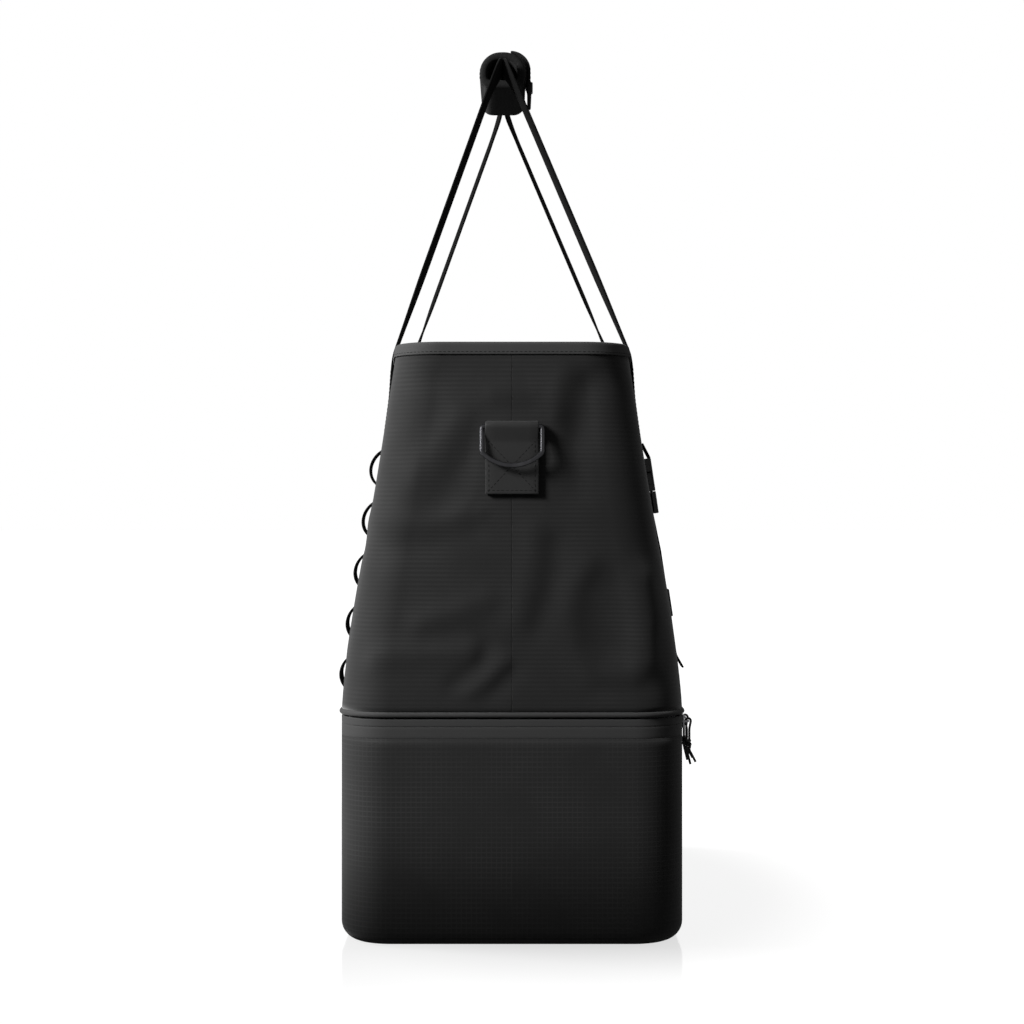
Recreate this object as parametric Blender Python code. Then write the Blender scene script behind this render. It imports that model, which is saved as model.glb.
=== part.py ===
"""Soft two-compartment tote: an open, tapered tote over a firm insulated compartment that zips shut.

Metres, +Z up. The front faces -Y, the long way is X, and the origin is the middle of the base on the floor.
"""
import math

import bmesh
import bpy
from mathutils import Matrix, Vector

# Clearance between neighbouring pieces
FIT = 0.0003

# Plan of the bag: firm base below, soft rim above
BASE_LENGTH = 0.430
BASE_DEPTH = 0.250
BASE_CORNER = 0.042
BASE_EDGE = 0.014
RIM_LENGTH = 0.450
RIM_DEPTH = 0.167
RIM_CORNER = 0.034
RIM_BOW = 0.0069
BELLY = 0.7

# Heights, stacked from the floor up
SHELL_HEIGHT = 0.1495
LOWER_TAPE = 0.0076
ZIP_SLIT = 0.0012
UPPER_TAPE = 0.0056
PIPING = 0.0040
TOTE_HEIGHT = 0.2667

# Thickness of the layers
SHELL_THICK = 0.0020
BOARD_THICK = 0.0020
FOAM_THICK = 0.0080
LINER_THICK = 0.0010
TAPE_THICK = 0.0016
PANEL_THICK = 0.0020
BIND_THICK = 0.0012
BIND_WIDTH = 0.0090
FLOOR_THICK = 0.0020
LID_FOAM = 0.0090
FOAM_PLAY = 0.0006
BOARD_MARGIN = 0.0020
LID_CHANNEL = 0.0010

# Webbing handles and the grip that gathers them
WEB_THICK = 0.0018
HANDLE_WIDTH = 0.025
HANDLE_SPREAD = 0.200
FRONT_SEWN = 0.068
BACK_SEWN = 0.0610
HANDLE_RAMP = 0.025
HANDLE_BEND = 0.035
GRIP_RISE = 0.2285
GRIP_BACK = 0.0075
GRIP_FOLD = 0.0117
GRIP_LENGTH = 0.114
GRIP_WIDTH = 0.0367
GRIP_WALL = 0.0045
GRIP_HEADROOM = 0.0120
GRIP_CROWN = 0.0120
GRIP_FOOT = 0.0090
FLAP_LENGTH = 0.100
FLAP_THICK = 0.0020
FLAP_STAND = 0.0020
FLAP_TAIL = 0.0020
SNAP_WIDTH = 0.010
SNAP_PROUD = 0.0020
STUD_WIDTH = 0.0050

# D-rings on the ends
TAB_WIDTH = 0.038
TAB_DROP = 0.0564
TAB_LENGTH = 0.052
TAB_STITCH = 0.0145
RING_WIRE = 0.0036
RING_DROP = 0.0285
RING_CORNER = 0.0021
RING_BEND = 0.0035
RING_TURN = 45
RING_PLAY = 0.0003
RING_LEAN = math.radians(12)

# Webbing loops down the back
DAISY_THICK = 0.0014
DAISY_PITCH = 0.0394
DAISY_SPAN = 0.0270
DAISY_RISE = 0.0078

# Compression straps down the front, with their buckles and keepers
STRAP_WIDTH = 0.020
STRAP_THICK = 0.0013
BUCKLE_DROP = 0.1057
BUCKLE_WIDTH = 0.027
BUCKLE_LIFT = 0.0006
SOCKET_THICK = 0.0066
SOCKET_WALL = 0.0012
SOCKET_SIDE = 0.0018
SOCKET_DEPTH = 0.0190
SOCKET_LIP = 0.0053
SOCKET_SHOULDER = 0.0038
PLUG_LENGTH = 0.0170
BUCKLE_BAR = 0.0032
WEB_SLOT = 0.0032
PRONG_WIDTH = 0.0028
PRONG_PLAY = 0.0028
TONGUE_WIDTH = 0.0060
KEEPER_DROP = 0.1916
KEEPER_HEIGHT = 0.0210
KEEPER_RUN = 0.0300
KEEPER_WALL = 0.0010
KEEPER_SIDE = 0.0028
TAIL_CURL = 0.0040
TAIL_END = 0.0100

# Zip sliders and their cord pulls
SLIDER_LENGTH = 0.0120
SLIDER_WIDTH = 0.0095
SLIDER_PLATE = 0.0014
SLIDER_PLAY = 0.0012
SLIDER_GAP = 0.0250
CROWN_BAR = 0.0013
CROWN_INSET = 0.0012
PULL_CORD = 0.0016
PULL_DROP = 0.0235
PULL_KNOT = 0.0072
PULL_TAIL = 0.0085
PULL_SPLAY = 0.0028

# Facets
CORNER_STEPS = 6
EDGE_STEPS = 4
SIDE_STEPS = 8
PANEL_LEVELS = 9
SHARP_ANGLE = math.radians(40)
BEVEL_ANGLE = math.radians(50)

# Heights that follow from the stack
ZIP_HEIGHT = SHELL_HEIGHT + FIT + LOWER_TAPE + ZIP_SLIT / 2
TAPE_TOP = ZIP_HEIGHT + ZIP_SLIT / 2 + UPPER_TAPE
SEAM_HEIGHT = TAPE_TOP + FIT + PIPING / 2
PANEL_BOTTOM = SEAM_HEIGHT + PIPING / 2 + FIT
RIM_HEIGHT = SEAM_HEIGHT + TOTE_HEIGHT
PANEL_TOP = RIM_HEIGHT - BIND_THICK - FIT
GRIP_HEIGHT = RIM_HEIGHT + GRIP_RISE
HANDLE_X = HANDLE_SPREAD / 2

# Joint axes
HINGE = Vector((0.0, BASE_DEPTH / 2, ZIP_HEIGHT))


def clear_scene():
    for old in list(bpy.data.objects):
        bpy.data.objects.remove(old, do_unlink=True)


def paint(name, colour, roughness, metallic=0.0):
    """A plain finish: linear colour, roughness and metallic value."""
    finish = bpy.data.materials.new(name)
    finish.use_nodes = True
    shader = finish.node_tree.nodes["Principled BSDF"]
    shader.inputs["Base Color"].default_value = (*colour, 1.0)
    shader.inputs["Roughness"].default_value = roughness
    shader.inputs["Metallic"].default_value = metallic
    return finish


def finishes():
    return {
        "shell": paint("ripstop shell", (0.016, 0.016, 0.017), 0.62),
        "panel": paint("ribbed panel cloth", (0.018, 0.018, 0.019), 0.70),
        "tape": paint("coated zip tape", (0.024, 0.024, 0.025), 0.50),
        "webbing": paint("woven webbing", (0.012, 0.012, 0.013), 0.75),
        "foam": paint("closed-cell foam", (0.050, 0.050, 0.052), 0.90),
        "liner": paint("coated liner", (0.140, 0.145, 0.150), 0.45),
        "board": paint("stiff board", (0.020, 0.020, 0.020), 0.60),
        "plastic": paint("moulded acetal", (0.014, 0.014, 0.015), 0.40),
        "metal": paint("blackened steel", (0.030, 0.030, 0.032), 0.35, 1.0),
        "cord": paint("braided cord", (0.012, 0.012, 0.012), 0.80),
    }


def attach(child, parent):
    """Parent an object and keep it where it stands."""
    child.parent = parent
    child.matrix_parent_inverse = Matrix.Translation(parent.location).inverted()


def empty(name, place):
    marker = bpy.data.objects.new(name, None)
    marker.location = place
    bpy.context.collection.objects.link(marker)
    return marker


def put(name, bm, finish, place=(0, 0, 0), turn=(0, 0, 0)):
    """Turn a bmesh into a smooth-shaded object."""
    mesh = bpy.data.meshes.new(name)
    bm.to_mesh(mesh)
    bm.free()
    mesh.materials.append(finish)
    mesh.shade_smooth()
    mesh.set_sharp_from_angle(angle=SHARP_ANGLE)
    thing = bpy.data.objects.new(name, mesh)
    thing.location = place
    thing.rotation_euler = turn
    bpy.context.collection.objects.link(thing)
    return thing


def grid(rows, closed):
    """A bmesh surface through rows of points. A closed row joins its last point to its first."""
    bm = bmesh.new()
    lines = [[bm.verts.new(point) for point in row] for row in rows]
    count = len(rows[0])
    spans = count if closed else count - 1
    for low, high in zip(lines, lines[1:]):
        for j in range(spans):
            k = (j + 1) % count
            bm.faces.new((low[j], low[k], high[k], high[j]))
    return bm, lines


def cloth(name, rows, thick, finish, closed=False, floor=False, side=-1.0, place=(0, 0, 0)):
    """A layer of cloth: a surface with its thickness inside (-1), on both sides (0) or outside (1)."""
    bm, lines = grid(rows, closed)
    if floor:
        bm.faces.new(list(reversed(lines[0])))
    layer = put(name, bm, finish, place)
    solid = layer.modifiers.new("thickness", "SOLIDIFY")
    solid.thickness = thick
    solid.offset = side
    solid.use_even_offset = True
    solid.use_quality_normals = True
    return layer


def block(name, loops, finish, place=(0, 0, 0), turn=(0, 0, 0)):
    """A solid lofted through closed loops, capped at both ends."""
    bm, lines = grid(loops, True)
    bm.faces.new(list(reversed(lines[0])))
    bm.faces.new(lines[-1])
    bmesh.ops.recalc_face_normals(bm, faces=bm.faces)
    return put(name, bm, finish, place, turn)


def extrusion(name, points, low, high, axis, finish, place=(0, 0, 0), turn=(0, 0, 0)):
    """A flat outline drawn out along an axis from low to high. Its points hold the other two axes."""
    def lift(point, level):
        spot = list(point)
        spot.insert(axis, level)
        return Vector(spot)
    loops = [[lift(point, level) for point in points] for level in (low, high)]
    return block(name, loops, finish, place, turn)


def rectangle(half_a, low_b, high_b):
    return [(-half_a, low_b), (half_a, low_b), (half_a, high_b), (-half_a, high_b)]


def combine(body, tool, operation):
    """Cut, or join, one solid with another. The tool stays as a hidden guide."""
    tool.hide_render = True
    tool.display_type = "WIRE"
    step = body.modifiers.new(tool.name, "BOOLEAN")
    step.operation = operation
    step.object = tool
    step.solver = "EXACT"


def carve(body, tag, points, low, high, axis=2, operation="DIFFERENCE"):
    """Cut, or join, an outline drawn out along an axis of a solid's own frame."""
    finish = body.data.materials[0]
    tool = extrusion(body.name + tag, points, low, high, axis, finish, body.location, body.rotation_euler)
    combine(body, tool, operation)


def round_edges(body, width):
    soft = body.modifiers.new("round edges", "BEVEL")
    soft.width = width
    soft.segments = 2
    soft.limit_method = "ANGLE"
    soft.angle_limit = BEVEL_ANGLE


def rope(name, points, thick, finish, closed=True, place=(0, 0, 0), turn=(0, 0, 0), sides=1):
    """A round cord or wire along a line of points."""
    line = bpy.data.curves.new(name, "CURVE")
    line.dimensions = "3D"
    line.bevel_depth = thick / 2
    line.bevel_resolution = sides
    line.use_fill_caps = True
    spline = line.splines.new("POLY")
    spline.points.add(len(points) - 1)
    for knot, point in zip(spline.points, points):
        knot.co = (*point, 1.0)
    spline.use_cyclic_u = closed
    line.materials.append(finish)
    thing = bpy.data.objects.new(name, line)
    thing.location = place
    thing.rotation_euler = turn
    bpy.context.collection.objects.link(thing)
    return thing


def arc(centre, radius, start, end, steps, radius_b=None):
    """Points on a circular or elliptic arc, with angles in degrees."""
    tall = radius if radius_b is None else radius_b
    points = []
    for i in range(steps + 1):
        angle = math.radians(start + (end - start) * i / steps)
        points.append((centre[0] + radius * math.cos(angle), centre[1] + tall * math.sin(angle)))
    return points


def circle(centre, width, steps):
    return arc(centre, width / 2, 0, 360, steps)[:-1]


def widening(z):
    """0 at the rim and 1 at the seam and below it, with the soft swell just above the seam."""
    fall = min(max((RIM_HEIGHT - z) / TOTE_HEIGHT, 0.0), 1.0)
    return fall + BELLY * fall**4 * (1 - fall)


def plan(z):
    """Half length, half depth, corner radius and bow of the long sides at a height."""
    share = widening(z)
    length = RIM_LENGTH + (BASE_LENGTH - RIM_LENGTH) * share
    depth = RIM_DEPTH + (BASE_DEPTH - RIM_DEPTH) * share
    corner = RIM_CORNER + (BASE_CORNER - RIM_CORNER) * share
    return length / 2, depth / 2, corner, RIM_BOW * (1 - share)


def front_y(x, z):
    """How far the outside of a long side lies from the middle plane."""
    length, depth, corner, bow = plan(z)
    return depth + bow * (1 - (x / (length - corner)) ** 2)


def front_slope(x, z):
    """How fast the long side falls back along its length."""
    length, depth, corner, bow = plan(z)
    return -2 * bow * x / (length - corner) ** 2


def half_line(z, inset, steps, front=True):
    """Half of the plan outline, from the middle of one end to the middle of the other, anticlockwise."""
    length, depth, corner, bow = plan(z)
    length, depth, corner = length - inset, depth - inset, corner - inset
    straight = length - corner
    points = [(-length, -FIT / 2)]
    points += arc((-straight, corner - depth), corner, 180, 270, CORNER_STEPS)
    for i in range(1, steps):
        x = straight * (2 * i / steps - 1)
        points.append((x, -depth - bow * (1 - (x / straight) ** 2)))
    points += arc((straight, corner - depth), corner, 270, 360, CORNER_STEPS)
    points.append((length, -FIT / 2))
    turn = 1 if front else -1
    return [Vector((turn * x, turn * y, z)) for x, y in points]


def outline(z, inset, steps=1):
    """The whole plan outline at a height, moved in by an inset."""
    front = half_line(z, inset, steps)
    back = half_line(z, inset, steps, front=False)
    return front[1:-1] + back[1:-1]


def zip_line(z):
    """The outline from one back corner round the front to the other back corner."""
    front = half_line(z, 0.0, 1)
    back = half_line(z, 0.0, 1, front=False)
    corner = CORNER_STEPS + 1
    return back[-1 - corner:-1] + front[1:-1] + back[1:1 + corner]


def tub_rows(inset, floor, edge, top):
    """Outlines of a tub: a round bottom edge, then a straight wall."""
    rows = []
    for i in range(EDGE_STEPS + 1):
        turn = math.pi / 2 * i / EDGE_STEPS
        rows.append(outline(floor + edge * (1 - math.cos(turn)), inset + edge * (1 - math.sin(turn))))
    rows.append(outline(top, inset))
    return rows


def lower_compartment(looks):
    """Shell, board, foam and liner of the firm lower part, nested inside each other."""
    shell = tub_rows(0.0, 0.0, BASE_EDGE, SHELL_HEIGHT)
    cloth("lower_shell", shell, SHELL_THICK, looks["shell"], True, True)

    board_low = SHELL_THICK + FIT
    board_high = board_low + BOARD_THICK
    margin = BASE_EDGE + BOARD_MARGIN
    block("base_board", [outline(board_low, margin), outline(board_high, margin)], looks["board"])

    foam_inset = SHELL_THICK + FOAM_PLAY
    foam_floor = board_high + FIT
    foam_edge = BASE_EDGE - foam_inset
    foam = tub_rows(foam_inset, foam_floor, foam_edge, SHELL_HEIGHT)
    cloth("lower_insulation", foam, FOAM_THICK, looks["foam"], True, True)

    layer = FOAM_THICK + FIT
    ledge = SHELL_HEIGHT + FIT
    liner = tub_rows(foam_inset + layer, foam_floor + layer, foam_edge - layer, ledge)
    liner.append(outline(ledge, TAPE_THICK + FIT))
    cloth("lower_liner", liner, LINER_THICK, looks["liner"], True, True)


def zip_tapes(looks, upper):
    """Both halves of the zip, and the cloth strip that closes the back between their ends."""
    low = SHELL_HEIGHT + FIT
    slit = ZIP_SLIT / 2
    lower_rows = [zip_line(low), zip_line(ZIP_HEIGHT - slit)]
    upper_rows = [zip_line(ZIP_HEIGHT + slit), zip_line(TAPE_TOP)]
    cloth("zip_tape_lower", lower_rows, TAPE_THICK, looks["tape"])
    attach(cloth("zip_tape_upper", upper_rows, TAPE_THICK, looks["tape"]), upper)

    reach = (BASE_LENGTH / 2 - BASE_CORNER) - FIT
    levels = (low, ZIP_HEIGHT - slit, ZIP_HEIGHT + slit, TAPE_TOP)
    strip = [[Vector((reach, HINGE.y, z)), Vector((-reach, HINGE.y, z))] for z in levels]
    cloth("back_hinge", strip, TAPE_THICK, looks["tape"])


def tote_body(looks, upper):
    """Front and back panels, corded seam, bound rim and the floor that lids the lower part."""
    rise = (PANEL_TOP - PANEL_BOTTOM) / (PANEL_LEVELS - 1)
    levels = [PANEL_BOTTOM + rise * i for i in range(PANEL_LEVELS)]
    for name, front in (("front_panel", True), ("back_panel", False)):
        rows = [half_line(z, 0.0, SIDE_STEPS, front) for z in levels]
        attach(cloth(name, rows, PANEL_THICK, looks["panel"]), upper)

    attach(rope("seam_piping", outline(SEAM_HEIGHT, FIT), PIPING, looks["tape"]), upper)

    low = RIM_HEIGHT - BIND_WIDTH
    high = PANEL_TOP + FIT
    inner = PANEL_THICK + FIT
    steps = [(low, -FIT), (high, -FIT), (high, inner), (low, inner)]
    rows = [outline(z, inset, SIDE_STEPS) for z, inset in steps]
    attach(cloth("rim_binding", rows, BIND_THICK, looks["tape"], True, side=1.0), upper)

    floor_top = PANEL_BOTTOM + FLOOR_THICK
    floor = [outline(PANEL_BOTTOM, inner), outline(floor_top, inner)]
    attach(block("tote_floor", floor, looks["panel"]), upper)
    lid_inset = TAPE_THICK + SLIDER_PLAY + SLIDER_PLATE + LID_CHANNEL
    foam_top = PANEL_BOTTOM - FIT
    foam_low = foam_top - LID_FOAM
    foam = [outline(foam_low, lid_inset), outline(foam_top, lid_inset)]
    attach(block("lid_foam", foam, looks["foam"]), upper)
    skin_top = foam_low - FIT
    skin = [outline(skin_top - LINER_THICK, lid_inset), outline(skin_top, lid_inset)]
    attach(block("lid_liner", skin, looks["liner"]), upper)


def ribbon(name, path, across, width, thick, finish):
    """Flat webbing along a path. Across gives its width direction, and width its width, at each point."""
    rows = []
    for point, side, wide in zip(path, across, width):
        half = side.normalized() * wide / 2
        rows.append([point - half, point + half])
    return cloth(name, rows, thick, finish, side=0.0)


def handle(name, side, sewn, looks):
    """One handle: sewn up the panel at both legs, leaning in to the grip, folded narrow inside it."""
    sewn_steps, leg_steps, bend_steps = 6, 4, 6
    web = FIT + WEB_THICK / 2
    over_rim = BIND_THICK + 2 * FIT
    start = RIM_HEIGHT - sewn
    rim_y = front_y(HANDLE_X, RIM_HEIGHT) + web + over_rim
    rim = Vector((HANDLE_X, side * rim_y, RIM_HEIGHT))
    top = Vector((HANDLE_X, GRIP_BACK + side * (FIT + WEB_THICK / 2), GRIP_HEIGHT))
    lean = (top - rim).normalized()
    bend_from = top - lean * HANDLE_BEND
    flat = Vector((1, 0, 0))
    path, across, width = [], [], []
    for i in range(sewn_steps + 1):
        z = start + sewn * i / sewn_steps
        ramp = min(max((z - (RIM_HEIGHT - BIND_WIDTH - HANDLE_RAMP)) / HANDLE_RAMP, 0.0), 1.0)
        y = front_y(HANDLE_X, z) + web + over_rim * ramp
        path.append(Vector((HANDLE_X, side * y, z)))
        across.append(Vector((1, side * front_slope(HANDLE_X, z), 0)))
        width.append(HANDLE_WIDTH)
    for i in range(1, leg_steps + 1):
        share = i / leg_steps
        path.append(rim.lerp(bend_from, share))
        across.append(across[sewn_steps].lerp(flat, share))
        width.append(HANDLE_WIDTH)
    for i in range(1, bend_steps + 1):
        share = i / bend_steps
        turn = math.pi / 2 * share
        inward = HANDLE_BEND * (1 - math.cos(turn))
        path.append(bend_from + lean * HANDLE_BEND * math.sin(turn) - flat * inward)
        upright = lean.lerp(Vector((0, 0, 1)), share)
        across.append(flat * math.cos(turn) + upright * math.sin(turn))
        width.append(HANDLE_WIDTH + (GRIP_FOLD - HANDLE_WIDTH) * share**2)
    mirror = Matrix.Diagonal((-1, 1, 1))
    path += [mirror @ point for point in reversed(path)]
    across += [-(mirror @ way) for way in reversed(across)]
    width += list(reversed(width))
    return ribbon(name, path, across, width, WEB_THICK, looks["webbing"])


def grip_section(grow, steps=4):
    """Cross-section of the grip from its top, forward, down and round, as (y, z)."""
    half = GRIP_WIDTH / 2 + grow
    top = GRIP_HEIGHT + GRIP_FOLD / 2 + GRIP_HEADROOM + grow
    low = GRIP_HEIGHT - GRIP_FOLD / 2 - FIT - GRIP_WALL - grow
    crown, foot = GRIP_CROWN + grow, GRIP_FOOT + grow
    points = arc((GRIP_BACK - half + crown, top - crown), crown, 90, 180, steps)
    points += arc((GRIP_BACK - half + foot, low + foot), foot, 180, 270, steps)
    points += arc((GRIP_BACK + half - foot, low + foot), foot, 270, 360, steps)
    points += arc((GRIP_BACK + half - crown, top - crown), crown, 0, 90, steps)
    return points


def grip(looks, upper):
    """Padded wrap round both handles, its closing flap on the front, and the snap that holds it."""
    ends = (-GRIP_LENGTH / 2, GRIP_LENGTH / 2)
    rows = [[Vector((x, y, z)) for y, z in grip_section(0.0)] for x in ends]
    attach(cloth("grip_wrap", rows, GRIP_WALL, looks["panel"], True), upper)

    steps = 6
    shape = grip_section(FIT, steps)[:steps + 1]
    pivot = Vector((0.0, shape[0][0], shape[0][1] + FLAP_THICK))
    stand = FLAP_STAND - FIT
    profile = []
    for i, (y, z) in enumerate(shape):
        profile.append((y - stand * i / steps, z))
    side_y, side_z = profile[-1]
    foot_z = GRIP_HEIGHT - GRIP_FOLD / 2 - GRIP_WALL
    profile.append((side_y, (side_z + foot_z) / 2))
    profile.append((side_y, foot_z))
    profile.append((side_y - FLAP_TAIL, foot_z - FLAP_TAIL))
    half = FLAP_LENGTH / 2
    rows = [[Vector((x, y - pivot.y, z - pivot.z)) for y, z in profile] for x in (-half, half)]
    flap = cloth("grip_flap", rows, FLAP_THICK, looks["panel"], side=1.0, place=pivot)
    attach(flap, upper)

    snap_z = side_z - SNAP_WIDTH / 2
    rim = circle((0.0, snap_z), SNAP_WIDTH, 16)
    face = side_y - FLAP_THICK - FIT
    cap = extrusion("snap_cap", rim, face - SNAP_PROUD, face, 1, looks["metal"])
    round_edges(cap, SNAP_PROUD / 3)
    attach(cap, flap)
    rim = circle((0.0, snap_z), STUD_WIDTH, 12)
    stud = extrusion("snap_stud", rim, side_y + FIT, side_y + FLAP_STAND - FIT, 1, looks["metal"])
    attach(stud, upper)


def ring_tab(name, end, looks):
    """Webbing folded over a D-ring's bar and sewn flat to the end panel below it."""
    loop = RING_WIRE / 2 + FIT + WEB_THICK / 2
    bar_z = RIM_HEIGHT - TAB_DROP - loop - WEB_THICK / 2
    bottom = RIM_HEIGHT - TAB_DROP - TAB_LENGTH
    back = FIT + WEB_THICK / 2
    front = back + FIT + WEB_THICK
    bar_out = back + loop
    profile = [(bottom, back), (bar_z - TAB_STITCH / 2, back)]
    for across, up in arc((0.0, 0.0), loop, 180, 0, 6):
        profile.append((bar_z + up, bar_out + across))
    profile += [(RIM_HEIGHT - TAB_DROP - TAB_STITCH, front), (bottom, front)]
    path = [Vector((end * (end_x(z) + out), 0.0, z)) for z, out in profile]
    across = [Vector((0, 1, 0))] * len(path)
    tab = ribbon(name, path, across, [TAB_WIDTH] * len(path), WEB_THICK, looks["webbing"])
    return tab, Vector((end * (end_x(bar_z) + bar_out), 0.0, bar_z))


def end_x(z):
    """How far the outside of an end panel lies from the middle."""
    return plan(z)[0]


def ring(name, end, pivot, looks):
    """D-ring: straight bar and shoulders, tight bends and a shallow bow, hanging from its bar."""
    half = TAB_WIDTH / 2 + RING_PLAY + RING_CORNER
    turn = math.radians(RING_TURN)
    bend_out = half - RING_BEND
    bow = RING_BEND + bend_out / math.cos(turn)
    bow_centre = bow - RING_DROP
    bend_up = bow_centre - bend_out * math.tan(turn)
    reach = half - RING_CORNER
    points = arc((reach, -RING_CORNER), RING_CORNER, 0, 90, 2)
    points += arc((-reach, -RING_CORNER), RING_CORNER, 90, 180, 2)
    points += arc((-bend_out, bend_up), RING_BEND, 180, 180 + RING_TURN, 3)
    points += arc((0.0, bow_centre), bow, 180 + RING_TURN, 360 - RING_TURN, 8)[1:-1]
    points += arc((bend_out, bend_up), RING_BEND, 360 - RING_TURN, 360, 3)
    line = [Vector((0.0, y, z)) for y, z in points]
    return rope(name, line, RING_WIRE, looks["metal"], True, pivot, (0.0, -end * RING_LEAN, 0.0), 2)


def end_hardware(looks, upper):
    for name, end in (("left", -1), ("right", 1)):
        tab, pivot = ring_tab(name + "_ring_tab", end, looks)
        attach(tab, upper)
        attach(ring(name + "_ring", end, pivot, looks), upper)


def daisy_chain(name, x, looks):
    """Webbing sewn down the back panel, standing off it in a row of loops."""
    steps = 8
    top = RIM_HEIGHT - BACK_SEWN - FIT
    tack = DAISY_PITCH - DAISY_SPAN
    flat = FIT + DAISY_THICK / 2
    bottom = PANEL_BOTTOM + FIT
    loops = int((top - bottom) / DAISY_PITCH)
    profile = [(top, 0.0)]
    for loop in range(loops):
        start = top - tack - loop * DAISY_PITCH
        for i in range(steps + 1):
            share = i / steps
            slide = (share + (1 - math.cos(math.pi * share)) / 2) / 2
            profile.append((start - DAISY_SPAN * slide, DAISY_RISE * math.sin(math.pi * share)))
    profile.append((bottom, 0.0))
    path = [Vector((x, front_y(x, z) + flat + out, z)) for z, out in profile]
    across = [Vector((1, front_slope(x, z), 0)) for z, out in profile]
    return ribbon(name, path, across, [HANDLE_WIDTH] * len(path), DAISY_THICK, looks["webbing"])


def buckle_frame(x):
    """Where a buckle sits on the front panel, and the panel's lean there."""
    z = RIM_HEIGHT - BUCKLE_DROP
    step = SOCKET_DEPTH
    lean = math.atan2(front_y(x, z - step) - front_y(x, z + step), 2 * step)
    place = Vector((x, -front_y(x, z) - BUCKLE_LIFT, z))
    return place, lean


def buckle_socket(name, place, turn, looks):
    """Hollow half of the side-release buckle: open mouth, side windows and a bar for its anchor webbing.

    Across is X, up the strap is Y and outward is Z in the buckle's own frame, with the mouth at Y = 0.
    """
    half = BUCKLE_WIDTH / 2
    top = SOCKET_DEPTH + WEB_SLOT + BUCKLE_BAR
    waist = SOCKET_WALL / 2
    sides = [(-half, 0), (half, 0), (half - waist, SOCKET_DEPTH / 2), (half, SOCKET_DEPTH)]
    sides.append((half - waist, top))
    sides += [(-x, y) for x, y in reversed(sides[2:])]
    body = extrusion(name, sides, 0.0, SOCKET_THICK, 2, looks["plastic"], place, turn)
    round_edges(body, SOCKET_WALL / 2)

    low, high = SOCKET_WALL, SOCKET_THICK - SOCKET_WALL
    mouth = rectangle(half - SOCKET_SIDE, -SOCKET_WALL, SOCKET_DEPTH - SOCKET_WALL)
    carve(body, "_mouth", mouth, low, high)
    carve(body, "_window", rectangle(half + SOCKET_WALL, *socket_window()), low, high)
    below, above = -SOCKET_THICK, 2 * SOCKET_THICK
    room = STRAP_WIDTH / 2 + 2 * FIT
    carve(body, "_slot", rectangle(room, SOCKET_DEPTH, SOCKET_DEPTH + WEB_SLOT), below, above)
    bar = rectangle(room, SOCKET_DEPTH, top + SOCKET_WALL)
    bar_low, bar_high = bar_heights()
    carve(body, "_over", bar, bar_high, above)
    carve(body, "_under", bar, below, bar_low)
    return body


def socket_window():
    """Where the socket's side windows start and end along the strap."""
    return SOCKET_LIP, SOCKET_DEPTH - SOCKET_SHOULDER


def bar_heights():
    """Underside and top of a webbing bar, leaving room for webbing on both sides of it."""
    return STRAP_THICK + 2 * FIT, SOCKET_THICK - STRAP_THICK


def buckle_plug(name, place, turn, looks):
    """Solid half of the buckle: two webbing slots with a bar between them, and a tongue into the socket."""
    half = BUCKLE_WIDTH / 2
    low = -FIT - PLUG_LENGTH
    waist = SOCKET_WALL / 2
    sides = [(waist - half, low), (half - waist, low), (half, -FIT), (-half, -FIT)]
    rest = 2 * (STRAP_THICK + FIT) + FIT - BUCKLE_LIFT
    body = extrusion(name, sides, rest, SOCKET_THICK, 2, looks["plastic"], place, turn)
    round_edges(body, SOCKET_WALL / 2)
    across = STRAP_WIDTH / 2 + 2 * FIT
    upper_low, upper_high, lower_low, lower_high = plug_slots()
    below, above = -SOCKET_THICK, 2 * SOCKET_THICK
    carve(body, "_upper_slot", rectangle(across, upper_low, upper_high), below, above)
    carve(body, "_lower_slot", rectangle(across, lower_low, lower_high), below, above)
    carve(body, "_relief", rectangle(across, lower_low, upper_high), bar_heights()[1], above)
    tongue = rectangle(TONGUE_WIDTH / 2, -SOCKET_WALL, prong_tip() - SOCKET_WALL)
    tongue_low = max(rest, SOCKET_WALL) + FIT
    carve(body, "_tongue", tongue, tongue_low, SOCKET_THICK - SOCKET_WALL - FIT, operation="UNION")
    return body


def prong_tip():
    """How far the prongs reach up inside the socket."""
    return SOCKET_DEPTH - SOCKET_WALL - PRONG_PLAY


def plug_slots():
    """Start and end of the plug's upper and lower webbing slots along the strap."""
    upper_high = -FIT - BUCKLE_BAR / 2
    upper_low = upper_high - WEB_SLOT
    lower_high = upper_low - BUCKLE_BAR
    return upper_low, upper_high, lower_high - WEB_SLOT, lower_high


def buckle_prong(name, side, place, turn, looks):
    """One sprung arm of the plug. Its barb fills the socket's window and is pressed to let the plug go."""
    half = BUCKLE_WIDTH / 2
    outer = half - SOCKET_SIDE - FIT
    inner = outer - PRONG_WIDTH
    window_low, window_high = socket_window()
    barb_low, barb_high = window_low + FIT, window_high - FIT
    points = [(inner, 0.0), (outer, 0.0), (outer, barb_low), (half, barb_low)]
    points += [(half - SOCKET_WALL / 2, (barb_low + barb_high) / 2), (outer, barb_high)]
    points += [(outer - PRONG_WIDTH / 2, prong_tip()), (inner, prong_tip())]
    pivot = (inner + outer) / 2
    shape = [(side * (x - pivot), y) for x, y in points]
    spin = Matrix.Rotation(turn[0], 3, "X")
    spot = Vector(place) + spin @ Vector((side * pivot, 0.0, 0.0))
    heights = (SOCKET_WALL + FIT, SOCKET_THICK - SOCKET_WALL - FIT)
    return extrusion(name, shape, *heights, 2, looks["plastic"], spot, turn)


def strap_point(place, turn, along, out):
    """A point given up the strap and outward in a buckle's or keeper's own frame, as a place on the bag."""
    spin = Matrix.Rotation(turn[0], 3, "X")
    return Vector(place) + spin @ Vector((0.0, along, out))


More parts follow.
